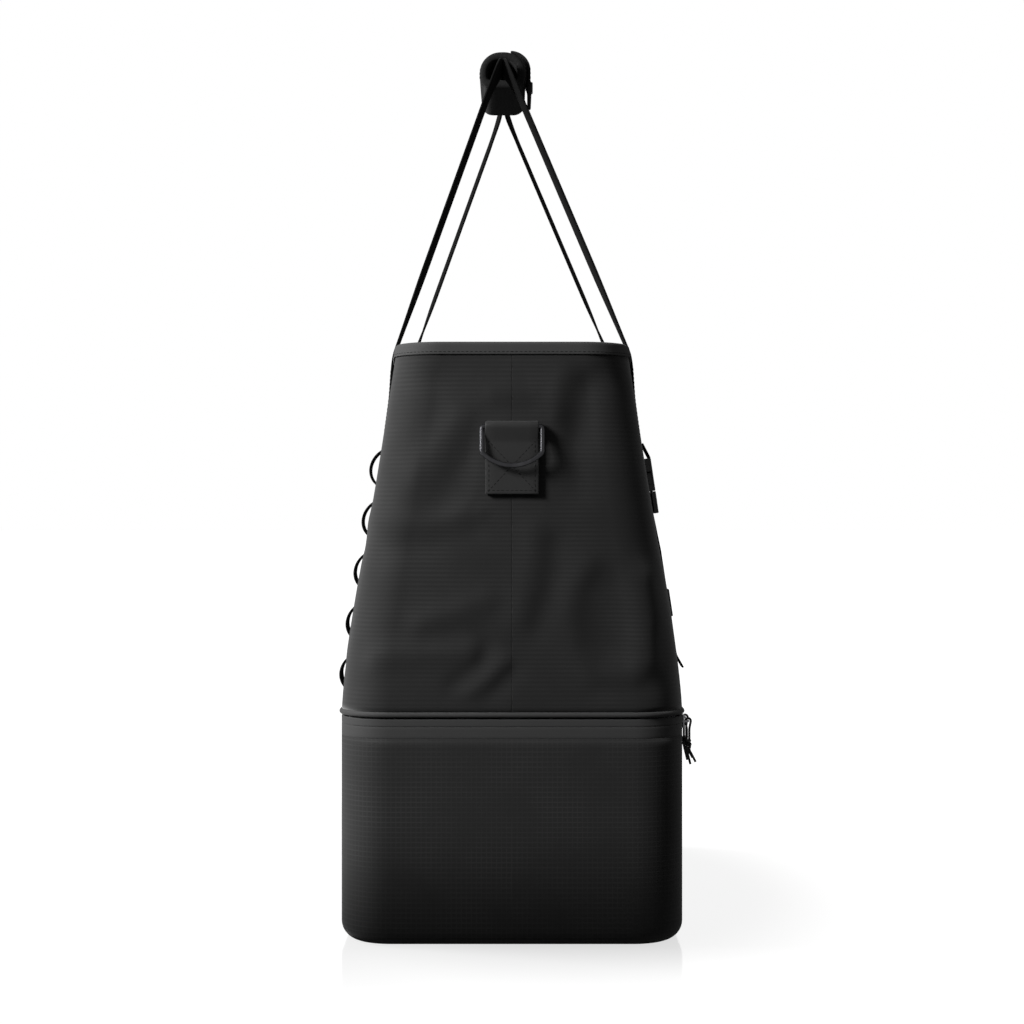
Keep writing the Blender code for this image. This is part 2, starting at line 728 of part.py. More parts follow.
def buckle_anchor(name, x, place, turn, looks):
    """Webbing loop that hangs the socket from the panel, sewn just under the handle's end."""
    web = STRAP_THICK / 2 + FIT
    bar_low, bar_high = bar_heights()
    slot = SOCKET_DEPTH + WEB_SLOT - web
    top = SOCKET_DEPTH + WEB_SLOT + BUCKLE_BAR
    sewn = RIM_HEIGHT - FRONT_SEWN - FIT
    profile = [(top, bar_low - web), (slot + web, bar_low - web), (slot, bar_low), (slot, bar_high)]
    profile += [(slot + web, bar_high + web), (top, bar_high + web)]
    loop = [strap_point(place, turn, along, out) for along, out in profile]
    panel = front_y(x, sewn)
    back = Vector((x, -panel - web, sewn))
    front = Vector((x, -panel - web - STRAP_THICK - FIT, sewn))
    path = [back] + loop + [front]
    across = [Vector((1, 0, 0))] * len(path)
    return ribbon(name, path, across, [STRAP_WIDTH] * len(path), STRAP_THICK, looks["webbing"])


def keeper_frame(x):
    """Where a keeper sits on the front panel, and the panel's lean there."""
    z = RIM_HEIGHT - KEEPER_DROP
    step = KEEPER_HEIGHT / 2
    lean = math.atan2(front_y(x, z - step) - front_y(x, z + step), 2 * step)
    return Vector((x, -front_y(x, z) - FIT, z)), (math.pi / 2 - lean, 0.0, 0.0)


def strap_line(x, along, layer):
    """A point of the taut strap by its keeper. Layer 0 lies on the keeper's back wall, 1 on layer 0."""
    place, turn = keeper_frame(x)
    out = KEEPER_WALL + FIT + STRAP_THICK / 2 + layer * (STRAP_THICK + FIT)
    return strap_point(place, turn, along, out)


def strap_webbing(name, x, place, turn, looks):
    """Compression strap: up from the seam, round the plug's bar and back down as a loose tail."""
    web = STRAP_THICK / 2 + FIT
    upper_low, upper_high, lower_low, lower_high = plug_slots()
    upper_mid = (upper_low + upper_high) / 2
    lower_mid = (lower_low + lower_high) / 2
    rest = FIT + STRAP_THICK / 2 - BUCKLE_LIFT
    over = bar_heights()[1] + web
    plug_low = -FIT - PLUG_LENGTH
    seam = PANEL_BOTTOM + FIT
    reach = KEEPER_HEIGHT / 2 + KEEPER_RUN
    path = [Vector((x, -front_y(x, seam) - web, seam))]
    path += [strap_line(x, along, 0) for along in (-reach, reach)]
    bend = [(plug_low, rest), (upper_mid - STRAP_THICK, rest), (upper_mid, rest + STRAP_THICK)]
    bend += [(upper_mid, over - STRAP_THICK / 2), (upper_low + FIT, over), (lower_high - FIT, over)]
    bend += [(lower_mid, over - STRAP_THICK / 2), (lower_mid, rest + 2 * (STRAP_THICK + FIT))]
    bend += [(lower_mid - STRAP_THICK, rest + STRAP_THICK + FIT), (plug_low, rest + STRAP_THICK + FIT)]
    path += [strap_point(place, turn, along, out) for along, out in bend]
    path += [strap_line(x, along, 1) for along in (reach, -reach)]
    path.append(strap_line(x, -reach - TAIL_END, 1) + Vector((0.0, -TAIL_CURL, 0.0)))
    across = [Vector((1, 0, 0))] * len(path)
    return ribbon(name, path, across, [STRAP_WIDTH] * len(path), STRAP_THICK, looks["webbing"])


def strap_keeper(name, x, looks):
    """Moulded loop that holds the tail against the strap and slides along it."""
    place, turn = keeper_frame(x)
    step = KEEPER_HEIGHT / 2
    room = 2 * STRAP_THICK + 3 * FIT
    half = STRAP_WIDTH / 2 + FIT
    tall = room + 2 * KEEPER_WALL
    outer = rectangle(half + KEEPER_SIDE, 0.0, tall)
    body = extrusion(name, outer, -step, step, 1, looks["plastic"], place, turn)
    round_edges(body, KEEPER_WALL / 2)
    hole = rectangle(half, KEEPER_WALL, KEEPER_WALL + room)
    carve(body, "_hole", hole, -2 * step, 2 * step, axis=1)
    return body


def front_straps(looks, upper):
    """Both compression straps, with every piece of their buckles."""
    for tag, x in (("left", -HANDLE_X), ("right", HANDLE_X)):
        place, lean = buckle_frame(x)
        turn = (math.pi / 2 - lean, 0.0, 0.0)
        pieces = [
            buckle_socket("buckle_socket_" + tag, place, turn, looks),
            buckle_plug("buckle_plug_" + tag, place, turn, looks),
            buckle_prong("prong_outer_" + tag, math.copysign(1, x), place, turn, looks),
            buckle_prong("prong_inner_" + tag, -math.copysign(1, x), place, turn, looks),
            buckle_anchor("buckle_anchor_" + tag, x, place, turn, looks),
            strap_webbing("strap_webbing_" + tag, x, place, turn, looks),
            strap_keeper("strap_keeper_" + tag, x, looks),
        ]
        for piece in pieces:
            attach(piece, upper)


def zip_slider(name, x, pivot, looks):
    """Slider with a plate on each face of the zip, a thin web in its slit and a crown bar for the pull."""
    face = -BASE_DEPTH / 2
    half = SLIDER_WIDTH / 2
    web = ZIP_SLIT / 2 - FIT
    near = face - FIT
    far = face + TAPE_THICK + SLIDER_PLAY
    beam = [(near - SLIDER_PLATE, -half), (near, -half), (near, -web), (far, -web), (far, -half)]
    beam += [(far + SLIDER_PLATE, -half)]
    beam += [(y, -z) for y, z in reversed(beam)]
    shape = [(y - pivot.y, z) for y, z in beam]
    start = x - pivot.x - SLIDER_LENGTH / 2
    body = extrusion(name, shape, start, start + SLIDER_LENGTH, 0, looks["metal"], pivot)

    room = pull_bend() + PULL_CORD / 2 + FIT - CROWN_BAR / 2
    reach = SLIDER_LENGTH / 2 - CROWN_INSET
    base = near - SLIDER_PLATE / 2
    bar_in = near - SLIDER_PLATE - room
    bar_out = bar_in - CROWN_BAR
    foot = reach - CROWN_BAR
    arch = [(-reach, base), (-foot, base), (-foot, bar_in), (foot, bar_in), (foot, base), (reach, base)]
    arch += [(reach, bar_in), (foot, bar_out), (-foot, bar_out), (-reach, bar_in)]
    arch = [(along + x - pivot.x, y - pivot.y) for along, y in arch]
    crown = extrusion(name + "_crown", arch, -CROWN_BAR / 2, CROWN_BAR / 2, 2, looks["metal"], pivot)
    combine(body, crown, "UNION")
    return body, (bar_in + bar_out) / 2


def pull_bend():
    """Radius of the pull's cord round the corners of the square crown bar."""
    return CROWN_BAR / math.sqrt(2) + FIT + PULL_CORD / 2


def tube(name, path, thick, sides, finish, place):
    """A round tube in the YZ plane through a path of (y, z) points, capped at both ends."""
    loops = []
    for i, (y, z) in enumerate(path):
        ahead = path[min(i + 1, len(path) - 1)]
        behind = path[max(i - 1, 0)]
        way = Vector((0.0, ahead[0] - behind[0], ahead[1] - behind[1])).normalized()
        side = way.cross(Vector((1, 0, 0)))
        loop = []
        for x, out in circle((0.0, 0.0), thick, sides):
            loop.append(Vector((x, y, z)) + side * out)
        loops.append(loop)
    return block(name, loops, finish, place)


def zip_pull(name, x, bar_y, looks):
    """Cord doubled over the crown bar, knotted below it, with two short tails."""
    bend = pull_bend()
    knot_z = -PULL_DROP
    neck = PULL_CORD / 2 + FIT / 2
    tail_z = knot_z - PULL_TAIL
    path = [(PULL_SPLAY / 2, tail_z), (neck, knot_z), (bend, knot_z / 2)]
    path += arc((0.0, 0.0), bend, 0, 180, 6)
    path += [(-bend, knot_z / 2), (-neck, knot_z), (-PULL_SPLAY, tail_z)]
    place = Vector((x, bar_y, ZIP_HEIGHT))
    cord = tube(name, path, PULL_CORD, 6, looks["cord"], place)
    bm = bmesh.new()
    bmesh.ops.create_uvsphere(bm, u_segments=10, v_segments=7, radius=PULL_KNOT / 2)
    lump = put(name + "_knot", bm, looks["cord"], place + Vector((0.0, 0.0, knot_z)))
    combine(cord, lump, "UNION")
    return cord


def zip_sliders(looks):
    """Two sliders that meet at the left front corner, where the zip starts round the end."""
    corner_x = BASE_CORNER - BASE_LENGTH / 2
    corner_y = BASE_CORNER - BASE_DEPTH / 2
    spots = (
        ("left", corner_x, Vector((corner_x, corner_y, ZIP_HEIGHT))),
        ("right", corner_x + SLIDER_GAP, Vector((corner_x + SLIDER_GAP, -BASE_DEPTH / 2, ZIP_HEIGHT))),
    )
    for tag, x, pivot in spots:
        slider, bar_y = zip_slider("zip_slider_" + tag, x, pivot, looks)
        attach(zip_pull("zip_pull_" + tag, x, bar_y, looks), slider)


def build():
    clear_scene()
    looks = finishes()
    upper = empty("tote_hinge", HINGE)
    lower_compartment(looks)
    zip_tapes(looks, upper)
    tote_body(looks, upper)
    attach(handle("front_handle", -1, FRONT_SEWN, looks), upper)
    attach(handle("back_handle", 1, BACK_SEWN, looks), upper)
    grip(looks, upper)
    end_hardware(looks, upper)
    for tag, x in (("left", -HANDLE_X), ("right", HANDLE_X)):
        attach(daisy_chain("daisy_chain_" + tag, x, looks), upper)
    front_straps(looks, upper)
    zip_sliders(looks)


build()
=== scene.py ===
# %% [markdown]
# # A two-compartment soft tote
# This bag is an open, tapered tote that stands on a firm insulated box. A zip joins the two, so the whole
# tote tips back like a lid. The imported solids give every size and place. Each soft solid gets a cloth,
# webbing or foam piece in its stead, and each hard piece keeps its solid or gets a finer one.

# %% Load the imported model
import math

import bmesh
import bpy
import numpy as np
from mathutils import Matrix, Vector


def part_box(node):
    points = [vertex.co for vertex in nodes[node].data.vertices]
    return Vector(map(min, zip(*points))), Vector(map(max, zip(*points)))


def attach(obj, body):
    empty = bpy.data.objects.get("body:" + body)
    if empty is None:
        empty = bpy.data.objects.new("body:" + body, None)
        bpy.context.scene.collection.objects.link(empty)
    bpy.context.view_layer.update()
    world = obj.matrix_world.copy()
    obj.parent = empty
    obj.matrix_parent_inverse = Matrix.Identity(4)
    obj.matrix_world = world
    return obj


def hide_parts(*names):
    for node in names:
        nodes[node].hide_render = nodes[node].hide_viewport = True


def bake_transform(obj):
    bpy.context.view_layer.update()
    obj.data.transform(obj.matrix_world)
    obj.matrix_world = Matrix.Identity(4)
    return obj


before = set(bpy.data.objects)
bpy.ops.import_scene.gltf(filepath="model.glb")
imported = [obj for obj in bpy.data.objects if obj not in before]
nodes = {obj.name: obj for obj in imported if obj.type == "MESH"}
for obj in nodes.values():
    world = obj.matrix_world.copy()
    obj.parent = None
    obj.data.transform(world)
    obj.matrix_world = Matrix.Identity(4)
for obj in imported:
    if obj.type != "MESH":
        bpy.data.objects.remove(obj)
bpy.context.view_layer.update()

scene = bpy.context.scene

# %% [markdown]
# ## Camera first
# The bag is seen square on to its narrow end, with the lens a little below half its height. A wide lens close
# by would spread the near and far handle legs apart, and a lens far away would lay them on each other. A long
# lens at 1.6 m gives the small difference in size that they should have. The front of the bag faces right.

# %% Camera
EYE = Vector((-1.600, 0.0, 0.312))
LENS_MM = 68.0
SENSOR_MM = 36.0

camera_data = bpy.data.cameras.new("end_view")
camera_data.lens = LENS_MM
camera_data.sensor_width = SENSOR_MM
camera = bpy.data.objects.new("end_view", camera_data)
camera.location = EYE
camera.rotation_euler = (math.radians(90), 0.0, math.radians(-90))
scene.collection.objects.link(camera)
scene.camera = camera
print("camera at", tuple(EYE), "with a lens of", LENS_MM, "mm")

# %% [markdown]
# ## Colour and node helpers
# Colours are written as they look on a screen, in sRGB hex, and one function turns them to linear light. One
# small function adds any node, sets its properties and feeds its sockets, so that a material or a Geometry
# Nodes tree reads as a list of what feeds what.

# %% Helpers for colours and nodes
def linear(hex_colour):
    """Linear RGBA of an sRGB hex colour."""
    channels = []
    for i in (1, 3, 5):
        value = int(hex_colour[i:i + 2], 16) / 255
        channels.append(value / 12.92 if value <= 0.04045 else ((value + 0.055) / 1.055) ** 2.4)
    return (*channels, 1.0)


def add(tree, kind, feeds=None, **settings):
    """Add a node with its settings, and feed its sockets from other sockets, nodes or plain values."""
    made = tree.nodes.new(kind)
    for name, value in settings.items():
        setattr(made, name, value)
    for socket, source in (feeds or {}).items():
        if isinstance(source, bpy.types.Node):
            source = source.outputs[0]
        if isinstance(source, bpy.types.NodeSocket):
            tree.links.new(source, made.inputs[socket])
        else:
            made.inputs[socket].default_value = source
    return made


def blank_material(name):
    material = bpy.data.materials.new(name)
    material.use_nodes = True
    material.node_tree.nodes.clear()
    return material, material.node_tree


print("screen grey #808080 is", round(linear("#808080")[0], 3), "in linear light")

# %% [markdown]
# ## White background and pale floor
# A product stands on a pale sweep that runs up to white behind it. It could be a bent sheet under strong
# lamps, but then its bounce would flood the black cloth. Here the floor and the world are white only to the
# camera and to shiny surfaces, and the light that falls on the cloth stays at a plain level. The floor's glow
# rises away from the bag, so the shadow fades out, and a faint polish mirrors the bag in front.

# %% Floor finish
FLOOR_GREY = "#969696"
FLOOR_BOUNCE = "#3c3c3c"
FLOOR_GLOW = 0.85
SHADOW_REACH = (0.12, 0.23)
SHADOW_SHIFT = 0.065
SHADOW_SQUEEZE = 0.6
FLOOR_POLISH = 0.175
POLISH_REACH = 0.17
POLISH_ROUGHNESS = 0.1
WHITE = "#ffffff"


def seen_directly(tree):
    """1 for rays from the camera and for what shiny or clear pieces show of the background, otherwise 0."""
    rays = add(tree, "ShaderNodeLightPath").outputs
    seen = rays["Is Camera Ray"]
    for kind in ("Is Glossy Ray", "Is Transmission Ray"):
        seen = add(tree, "ShaderNodeMath", {0: seen, 1: rays[kind]}, operation="MAXIMUM").outputs[0]
    return seen


def floor_finish():
    """Pale floor: matt, with a glow that only direct looks see, and a polish that fades out in front.

    Light that bounces off the matt part is weak, as off a floor further down.
    """
    material, tree = blank_material("pale studio floor")
    seen = seen_directly(tree)
    place = add(tree, "ShaderNodeTexCoord").outputs["Object"]
    feeds = {0: seen, 6: linear(FLOOR_BOUNCE), 7: linear(FLOOR_GREY)}
    grey = add(tree, "ShaderNodeMix", feeds, data_type="RGBA")
    matt = add(tree, "ShaderNodeBsdfDiffuse", {"Color": grey.outputs[2]})
    feeds = {0: place, 1: (SHADOW_SQUEEZE, 1.0, 0.0), 2: (0.0, SHADOW_SHIFT, 0.0)}
    plan_place = add(tree, "ShaderNodeVectorMath", feeds, operation="MULTIPLY_ADD")
    away = add(tree, "ShaderNodeVectorMath", {0: plan_place}, operation="LENGTH").outputs["Value"]
    feeds = {"Value": away, "From Min": SHADOW_REACH[0], "From Max": SHADOW_REACH[1], "To Min": FLOOR_GLOW}
    level = add(tree, "ShaderNodeMapRange", feeds, interpolation_type="SMOOTHSTEP")
    strength = add(tree, "ShaderNodeMath", {0: seen, 1: level}, operation="MULTIPLY")
    glow = add(tree, "ShaderNodeEmission", {"Strength": strength})
    pale = add(tree, "ShaderNodeAddShader", {0: matt, 1: glow})
    axes = add(tree, "ShaderNodeSeparateXYZ", {0: place})
    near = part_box("lower_shell")[0].x
    feeds = {"Value": axes.outputs["X"], "From Min": near - POLISH_REACH, "From Max": near}
    polish = add(tree, "ShaderNodeMapRange", {**feeds, "To Max": FLOOR_POLISH})
    shine = add(tree, "ShaderNodeBsdfGlossy", {"Color": linear(WHITE), "Roughness": POLISH_ROUGHNESS})
    mix = add(tree, "ShaderNodeMixShader", {"Fac": polish, 1: pale, 2: shine})
    add(tree, "ShaderNodeOutputMaterial", {"Surface": mix})
    return material


print("floor glow of", FLOOR_GLOW, "and polish of", FLOOR_POLISH)

# %% World and floor
FLOOR_SIZE = 60.0
FILL = 0.18


def studio_world():
    """White to the eye, and a soft grey to everything that it lights."""
    world = bpy.data.worlds.new("studio")
    world.use_nodes = True
    tree = world.node_tree
    tree.nodes.clear()
    soft, white = (add(tree, "ShaderNodeBackground", {"Color": linear(WHITE), "Strength": strength})
                   for strength in (FILL, 1.0))
    mix = add(tree, "ShaderNodeMixShader", {"Fac": seen_directly(tree), 1: soft, 2: white})
    add(tree, "ShaderNodeOutputWorld", {"Surface": mix})
    return world


def stage_plane(name, corners, finish):
    mesh = bpy.data.meshes.new(name)
    mesh.from_pydata(corners, [], [(0, 1, 2, 3)])
    mesh.materials.append(finish)
    plane = bpy.data.objects.new(name, mesh)
    scene.collection.objects.link(plane)
    return plane


scene.world = studio_world()
scene.view_settings.view_transform = "Standard"
far = FLOOR_SIZE / 2
floor = stage_plane("floor", [(-far, -far, 0), (far, -far, 0), (far, far, 0), (-far, far, 0)], floor_finish())
print("world and a floor of", FLOOR_SIZE, "m")

# %% [markdown]
# ## Lamps and cards
# The key lamp is at the upper left of the picture, so the back edge of the bag is bright and the front falls to
# black. A broad sun lights the back, and a narrow spot that misses the near corner keeps the front's straps
# readable from other sides. One big soft box could do for all three, but it would light the end evenly and
# hide its folds. Two low black cards, which the camera doesn't see, let the light fade towards the floor.
# Light linking keeps the key and the spot off the floor, and lets the sun pass through the first card.

# %% Lamps and cards
AIM = Vector((-0.20, 0.0, 0.30))
LAMP_DISTANCE = 1.05
KEY_WAY = Vector((-0.56, 0.72, 0.46)).normalized()
KEY_SIZE = 0.26
KEY_WATTS = 11.0
SIDE_WAY = Vector((0.15, 0.92, 0.40)).normalized()
SIDE_STRENGTH = 2.8
SIDE_ANGLE = math.radians(24)
FRONT_AIM = Vector((0.12, -0.10, 0.28))
FRONT_WAY = Vector((0.45, -0.80, 0.40)).normalized()
FRONT_WATTS = 45.0
FRONT_CONE = math.radians(26)
FRONT_BLEND = 0.8
FRONT_SIZE = 0.1
# Each card as its two ends on the floor and its height
KEY_CARD = ((-0.33, -0.40), (-0.33, 0.60), 0.188)
SIDE_CARD = ((-0.50, 0.35), (0.50, 0.35), 0.135)
CARD_BLACK = "#101010"


def lamp(name, kind, way, aim=AIM, **settings):
    """A lamp that looks at the bag from a given way."""
    data = bpy.data.lights.new(name, kind)
    for setting, value in settings.items():
        setattr(data, setting, value)
    made = bpy.data.objects.new(name, data)
    made.location = aim + way * LAMP_DISTANCE
    made.rotation_euler = way.to_track_quat("Z", "Y").to_euler()
    scene.collection.objects.link(made)
    return made


def leave_out(made, link, thing):
    """Keep a lamp's light off a thing, or let that thing throw no shadow in it."""
    group = bpy.data.collections.new(made.name + " leaves out " + thing.name)
    group.objects.link(thing)
    group.collection_objects[0].light_linking.link_state = "EXCLUDE"
    setattr(made.light_linking, link, group)


key = lamp("key", "AREA", KEY_WAY, energy=KEY_WATTS, size=KEY_SIZE)
side = lamp("side", "SUN", SIDE_WAY, energy=SIDE_STRENGTH, angle=SIDE_ANGLE)
front = lamp("front", "SPOT", FRONT_WAY, FRONT_AIM, energy=FRONT_WATTS, spot_size=FRONT_CONE,
             spot_blend=FRONT_BLEND, shadow_soft_size=FRONT_SIZE)

card_finish, card_tree = blank_material("black card")
card_matt = add(card_tree, "ShaderNodeBsdfDiffuse", {"Color": linear(CARD_BLACK)})
add(card_tree, "ShaderNodeOutputMaterial", {"Surface": card_matt})
cards = []
for name, (start, end, tall) in (("key card", KEY_CARD), ("side card", SIDE_CARD)):
    card = stage_plane(name, [(*start, 0), (*end, 0), (*end, tall), (*start, tall)], card_finish)
    for ray in ("camera", "glossy", "transmission"):
        setattr(card, "visible_" + ray, False)
    cards.append(card)
for shining in (key, front):
    leave_out(shining, "receiver_collection", floor)
leave_out(side, "blocker_collection", cards[0])
print("3 lamps and", len(cards), "cards")

# %% [markdown]
# ## Sizes of the bag
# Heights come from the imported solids. The plan of the bag is a rounded rectangle that grows from the rim to
# the seam. It could be two curves with a loft between them, but with two sets of plan sizes and one formula
# any piece can ask for the outline at its own height and inset, so what is sewn together also meets.

# %% Sizes
FIT = 0.0003
BASE_LENGTH = 0.430
BASE_DEPTH = 0.250
BASE_CORNER = 0.037
BASE_EDGE = 0.013
RIM_LENGTH = 0.450
RIM_DEPTH = 0.167
RIM_CORNER = 0.034
RIM_BOW = 0.0069
BELLY = 0.7

SHELL_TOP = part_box("lower_shell")[1].z
TAPE_LOW, SLIT_LOW = (corner.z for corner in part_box("zip_tape_lower"))
SLIT_HIGH, TAPE_TOP = (corner.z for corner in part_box("zip_tape_upper"))
ZIP_HEIGHT = (SLIT_LOW + SLIT_HIGH) / 2
SEAM_HEIGHT = (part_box("seam_piping")[0].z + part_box("seam_piping")[1].z) / 2
PANEL_BOTTOM, PANEL_TOP = (corner.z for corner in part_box("front_panel"))
RIM_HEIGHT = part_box("rim_binding")[1].z
TOTE_HEIGHT = RIM_HEIGHT - SEAM_HEIGHT
print("seam at", round(SEAM_HEIGHT, 4), "m and rim at", round(RIM_HEIGHT, 4), "m")

# %% Outline of the bag
LEAST_CORNER = 0.001
# Columns of points: close together beside the end's seam, then even
SEAM_START = 0.00012
SEAM_STEPS = (0.0004, 0.0009, 0.0020)
EVEN_START = 0.005
END_COLUMNS = 22
CORNER_COLUMNS = 16
SIDE_COLUMNS = 96


def plan(z):
    """Half length, half depth, corner radius and bow of the long sides at a height."""
    fall = min(max((RIM_HEIGHT - z) / TOTE_HEIGHT, 0.0), 1.0)
    share = fall + BELLY * fall**4 * (1 - fall)
    length = RIM_LENGTH + (BASE_LENGTH - RIM_LENGTH) * share
    depth = RIM_DEPTH + (BASE_DEPTH - RIM_DEPTH) * share
    corner = RIM_CORNER + (BASE_CORNER - RIM_CORNER) * share
    return length / 2, depth / 2, corner, RIM_BOW * (1 - share)


def half_outline(z, inset=0.0, turn=1, start=SEAM_START):
    """Points from the middle of one end round the front (turn 1) or the back (turn -1) to the other end."""
    length, depth, corner, bow = plan(z)
    length, depth, corner = length - inset, depth - inset, max(corner - inset, LEAST_CORNER)
    straight_x, straight_y = length - corner, depth - corner
    even = np.linspace(min(EVEN_START, straight_y / 2), straight_y, END_COLUMNS, endpoint=False)
    end = np.concatenate([[start], np.minimum(SEAM_STEPS, straight_y / 3), even])
    angle = np.linspace(0, math.pi / 2, CORNER_COLUMNS + 1)
    across = np.linspace(-straight_x, straight_x, SIDE_COLUMNS, endpoint=False)
    corner_x, corner_y = straight_x + corner * np.cos(angle), -straight_y - corner * np.sin(angle)
    pieces = [
        np.column_stack([np.full_like(end, -length), -end]),
        np.column_stack([-corner_x, corner_y])[:-1],
        np.column_stack([across, -depth - bow * (1 - (across / straight_x) ** 2)]),
        np.column_stack([corner_x, corner_y])[::-1],
        np.column_stack([np.full_like(end, length), -end])[::-1],
    ]
    flat = np.vstack(pieces) * turn
    return np.column_stack([flat, np.full(len(flat), z)])


def outline(z, inset=0.0):
    """The whole outline at a height, anticlockwise from the middle of the left end."""
    return np.vstack([half_outline(z, inset), half_outline(z, inset, -1)])


print("outline of", len(outline(RIM_HEIGHT)), "points")

# %% [markdown]
# ## Sheets of cloth
# Cloth is a sheet with a thickness and a weave. It could be a thin solid, but a grid of points can carry a UV
# map in metres, so that a weave is drawn at its real size and follows the cloth, and a Solidify modifier then
# gives the thickness. Every finished piece sits at the origin, with its place in its mesh, and all but the
# hinge strip are tied to the body that carries them.

# %% Grids of points
def new_object(name, mesh, finish):
    mesh.materials.append(finish)
    mesh.shade_smooth()
    thing = bpy.data.objects.new(name, mesh)
    scene.collection.objects.link(thing)
    return thing


def running_length(steps):
    return np.concatenate([[0.0], np.cumsum(steps)])


def grid_mesh(name, grid, closed):
    """Mesh through rows of points, with a UV map named cloth in metres: u along rows, v from row to row."""
    rows, columns = grid.shape[:2]
    spans = columns if closed else columns - 1
    row, column = np.meshgrid(np.arange(rows - 1), np.arange(spans), indexing="ij")
    beside = (column + 1) % columns
    corners = [row * columns + column, row * columns + beside,
               (row + 1) * columns + beside, (row + 1) * columns + column]
    quads = np.stack(corners, -1).reshape(-1, 4)
    mesh = bpy.data.meshes.new(name)
    mesh.from_pydata(grid.reshape(-1, 3).tolist(), [], quads.tolist())
    looped = np.concatenate([grid, grid[:, :1]], axis=1)
    u = running_length(np.linalg.norm(np.diff(looped, axis=1), axis=2).max(0))
    v = running_length(np.linalg.norm(np.diff(grid, axis=0), axis=2).mean(1))
    places = [(u[column], v[row]), (u[column + 1], v[row]),
              (u[column + 1], v[row + 1]), (u[column], v[row + 1])]
    layer = mesh.uv_layers.new(name="cloth")
    layer.data.foreach_set("uv", np.stack([np.stack(p, -1) for p in places], 2).ravel())
    return mesh


print("every grid has a UV map in metres")

# %% Closing a mesh
SAME_POINT = 1e-6


def rework(mesh, work):
    """Open a mesh for editing, do some work on it and put it back."""
    bm = bmesh.new()
    bm.from_mesh(mesh)
    work(bm)
    bm.to_mesh(mesh)
    bm.free()


def cap(mesh, count, both=False):
    """Close the first, or the first and last, ring of a mesh with a face, and point its faces out."""
    def close(bm):
        bm.verts.ensure_lookup_table()
        bm.faces.new(bm.verts[:count][::-1])
        if both:
            bm.faces.new(bm.verts[-count:])
            bmesh.ops.recalc_face_normals(bm, faces=bm.faces)
    rework(mesh, close)


def join_rows(bm):
    """Merge the last row of a ring with its first, and point the faces out."""
    bmesh.ops.remove_doubles(bm, verts=bm.verts, dist=SAME_POINT)
    bmesh.ops.recalc_face_normals(bm, faces=bm.faces)


print("points closer than", SAME_POINT, "m are joined")

# %% Cloth, soft edges and bodies
def cloth(name, rows, finish, thick, closed=True, side=-1.0, lining=None, floor=False):
    """A layer of cloth through rows of points, with its thickness inside (-1), centred (0) or outside (1)."""
    mesh = grid_mesh(name, np.array(rows, float), closed)
    if floor:
        cap(mesh, len(rows[0]))
    piece = new_object(name, mesh, finish)
    layer = piece.modifiers.new("thickness", "SOLIDIFY")
    layer.thickness = thick
    layer.offset = side
    layer.use_even_offset = True
    if lining:
        piece.data.materials.append(lining)
        layer.material_offset = 1
    return piece


def soften(piece, width, angle=40):
    """Round the hard edges of a piece with a bevel."""
    edge = piece.modifiers.new("soft edges", "BEVEL")
    edge.width = width
    edge.segments = 2
    edge.limit_method = "ANGLE"
    edge.angle_limit = math.radians(angle)
    edge.harden_normals = False


def dress(piece, body, slot, *replaced):
    """Tie a finished piece to its body and hide the solids that it stands for. Its slot is not used."""
    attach(piece, body)
    if replaced:
        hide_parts(*replaced)
    return piece


print("helpers for cloth")

# %% [markdown]
# ## Finishes for what is woven
# All the cloth is black polyester or nylon, so what tells one from another is the weave and how light slides
# over it. A picture of cloth would blur close up and repeat, so the threads are drawn by nodes from the UV
# map, at their real pitch where that shows: a level rib every 3.3 mm on the tote, a ripstop square of 3.6 mm
# on the box, and chevrons on webbing. The thicker threads stand up a little and wear unevenly, and are
# paler, partly for their own tone and partly as a painted sheen along them.

# %% Weaves
# The plain weave between the threads is about 0.3 mm, too fine to show, so its grain is drawn at 1.1 mm
GRAINS_A_METRE = 900.0
# Patches of wear are about 42 mm wide
PATCHES_A_METRE = 24.0
WEAR_RANGE = {"From Min": 0.35, "From Max": 0.65, "To Min": 0.35, "To Max": 1.25}
GRAIN_TINT, WEAR_TINT, GRAIN_RELIEF = 0.35, 0.3, 0.5
WEAVE_BUMP = 0.7
SHEEN_ROUGHNESS = 0.45


def thread_lines(tree, along, pitch, width, share):
    """A share along fine lines that lie a pitch apart, falling to 0 within their width."""
    steps = add(tree, "ShaderNodeMath", {0: along, 1: 1 / pitch}, operation="MULTIPLY")
    near = add(tree, "ShaderNodeMath", {0: steps, 1: 0.5}, operation="PINGPONG")
    feeds = {"Value": near, "From Min": 0.0, "From Max": width / pitch, "To Min": share, "To Max": 0.0}
    return add(tree, "ShaderNodeMapRange", feeds, interpolation_type="SMOOTHSTEP")


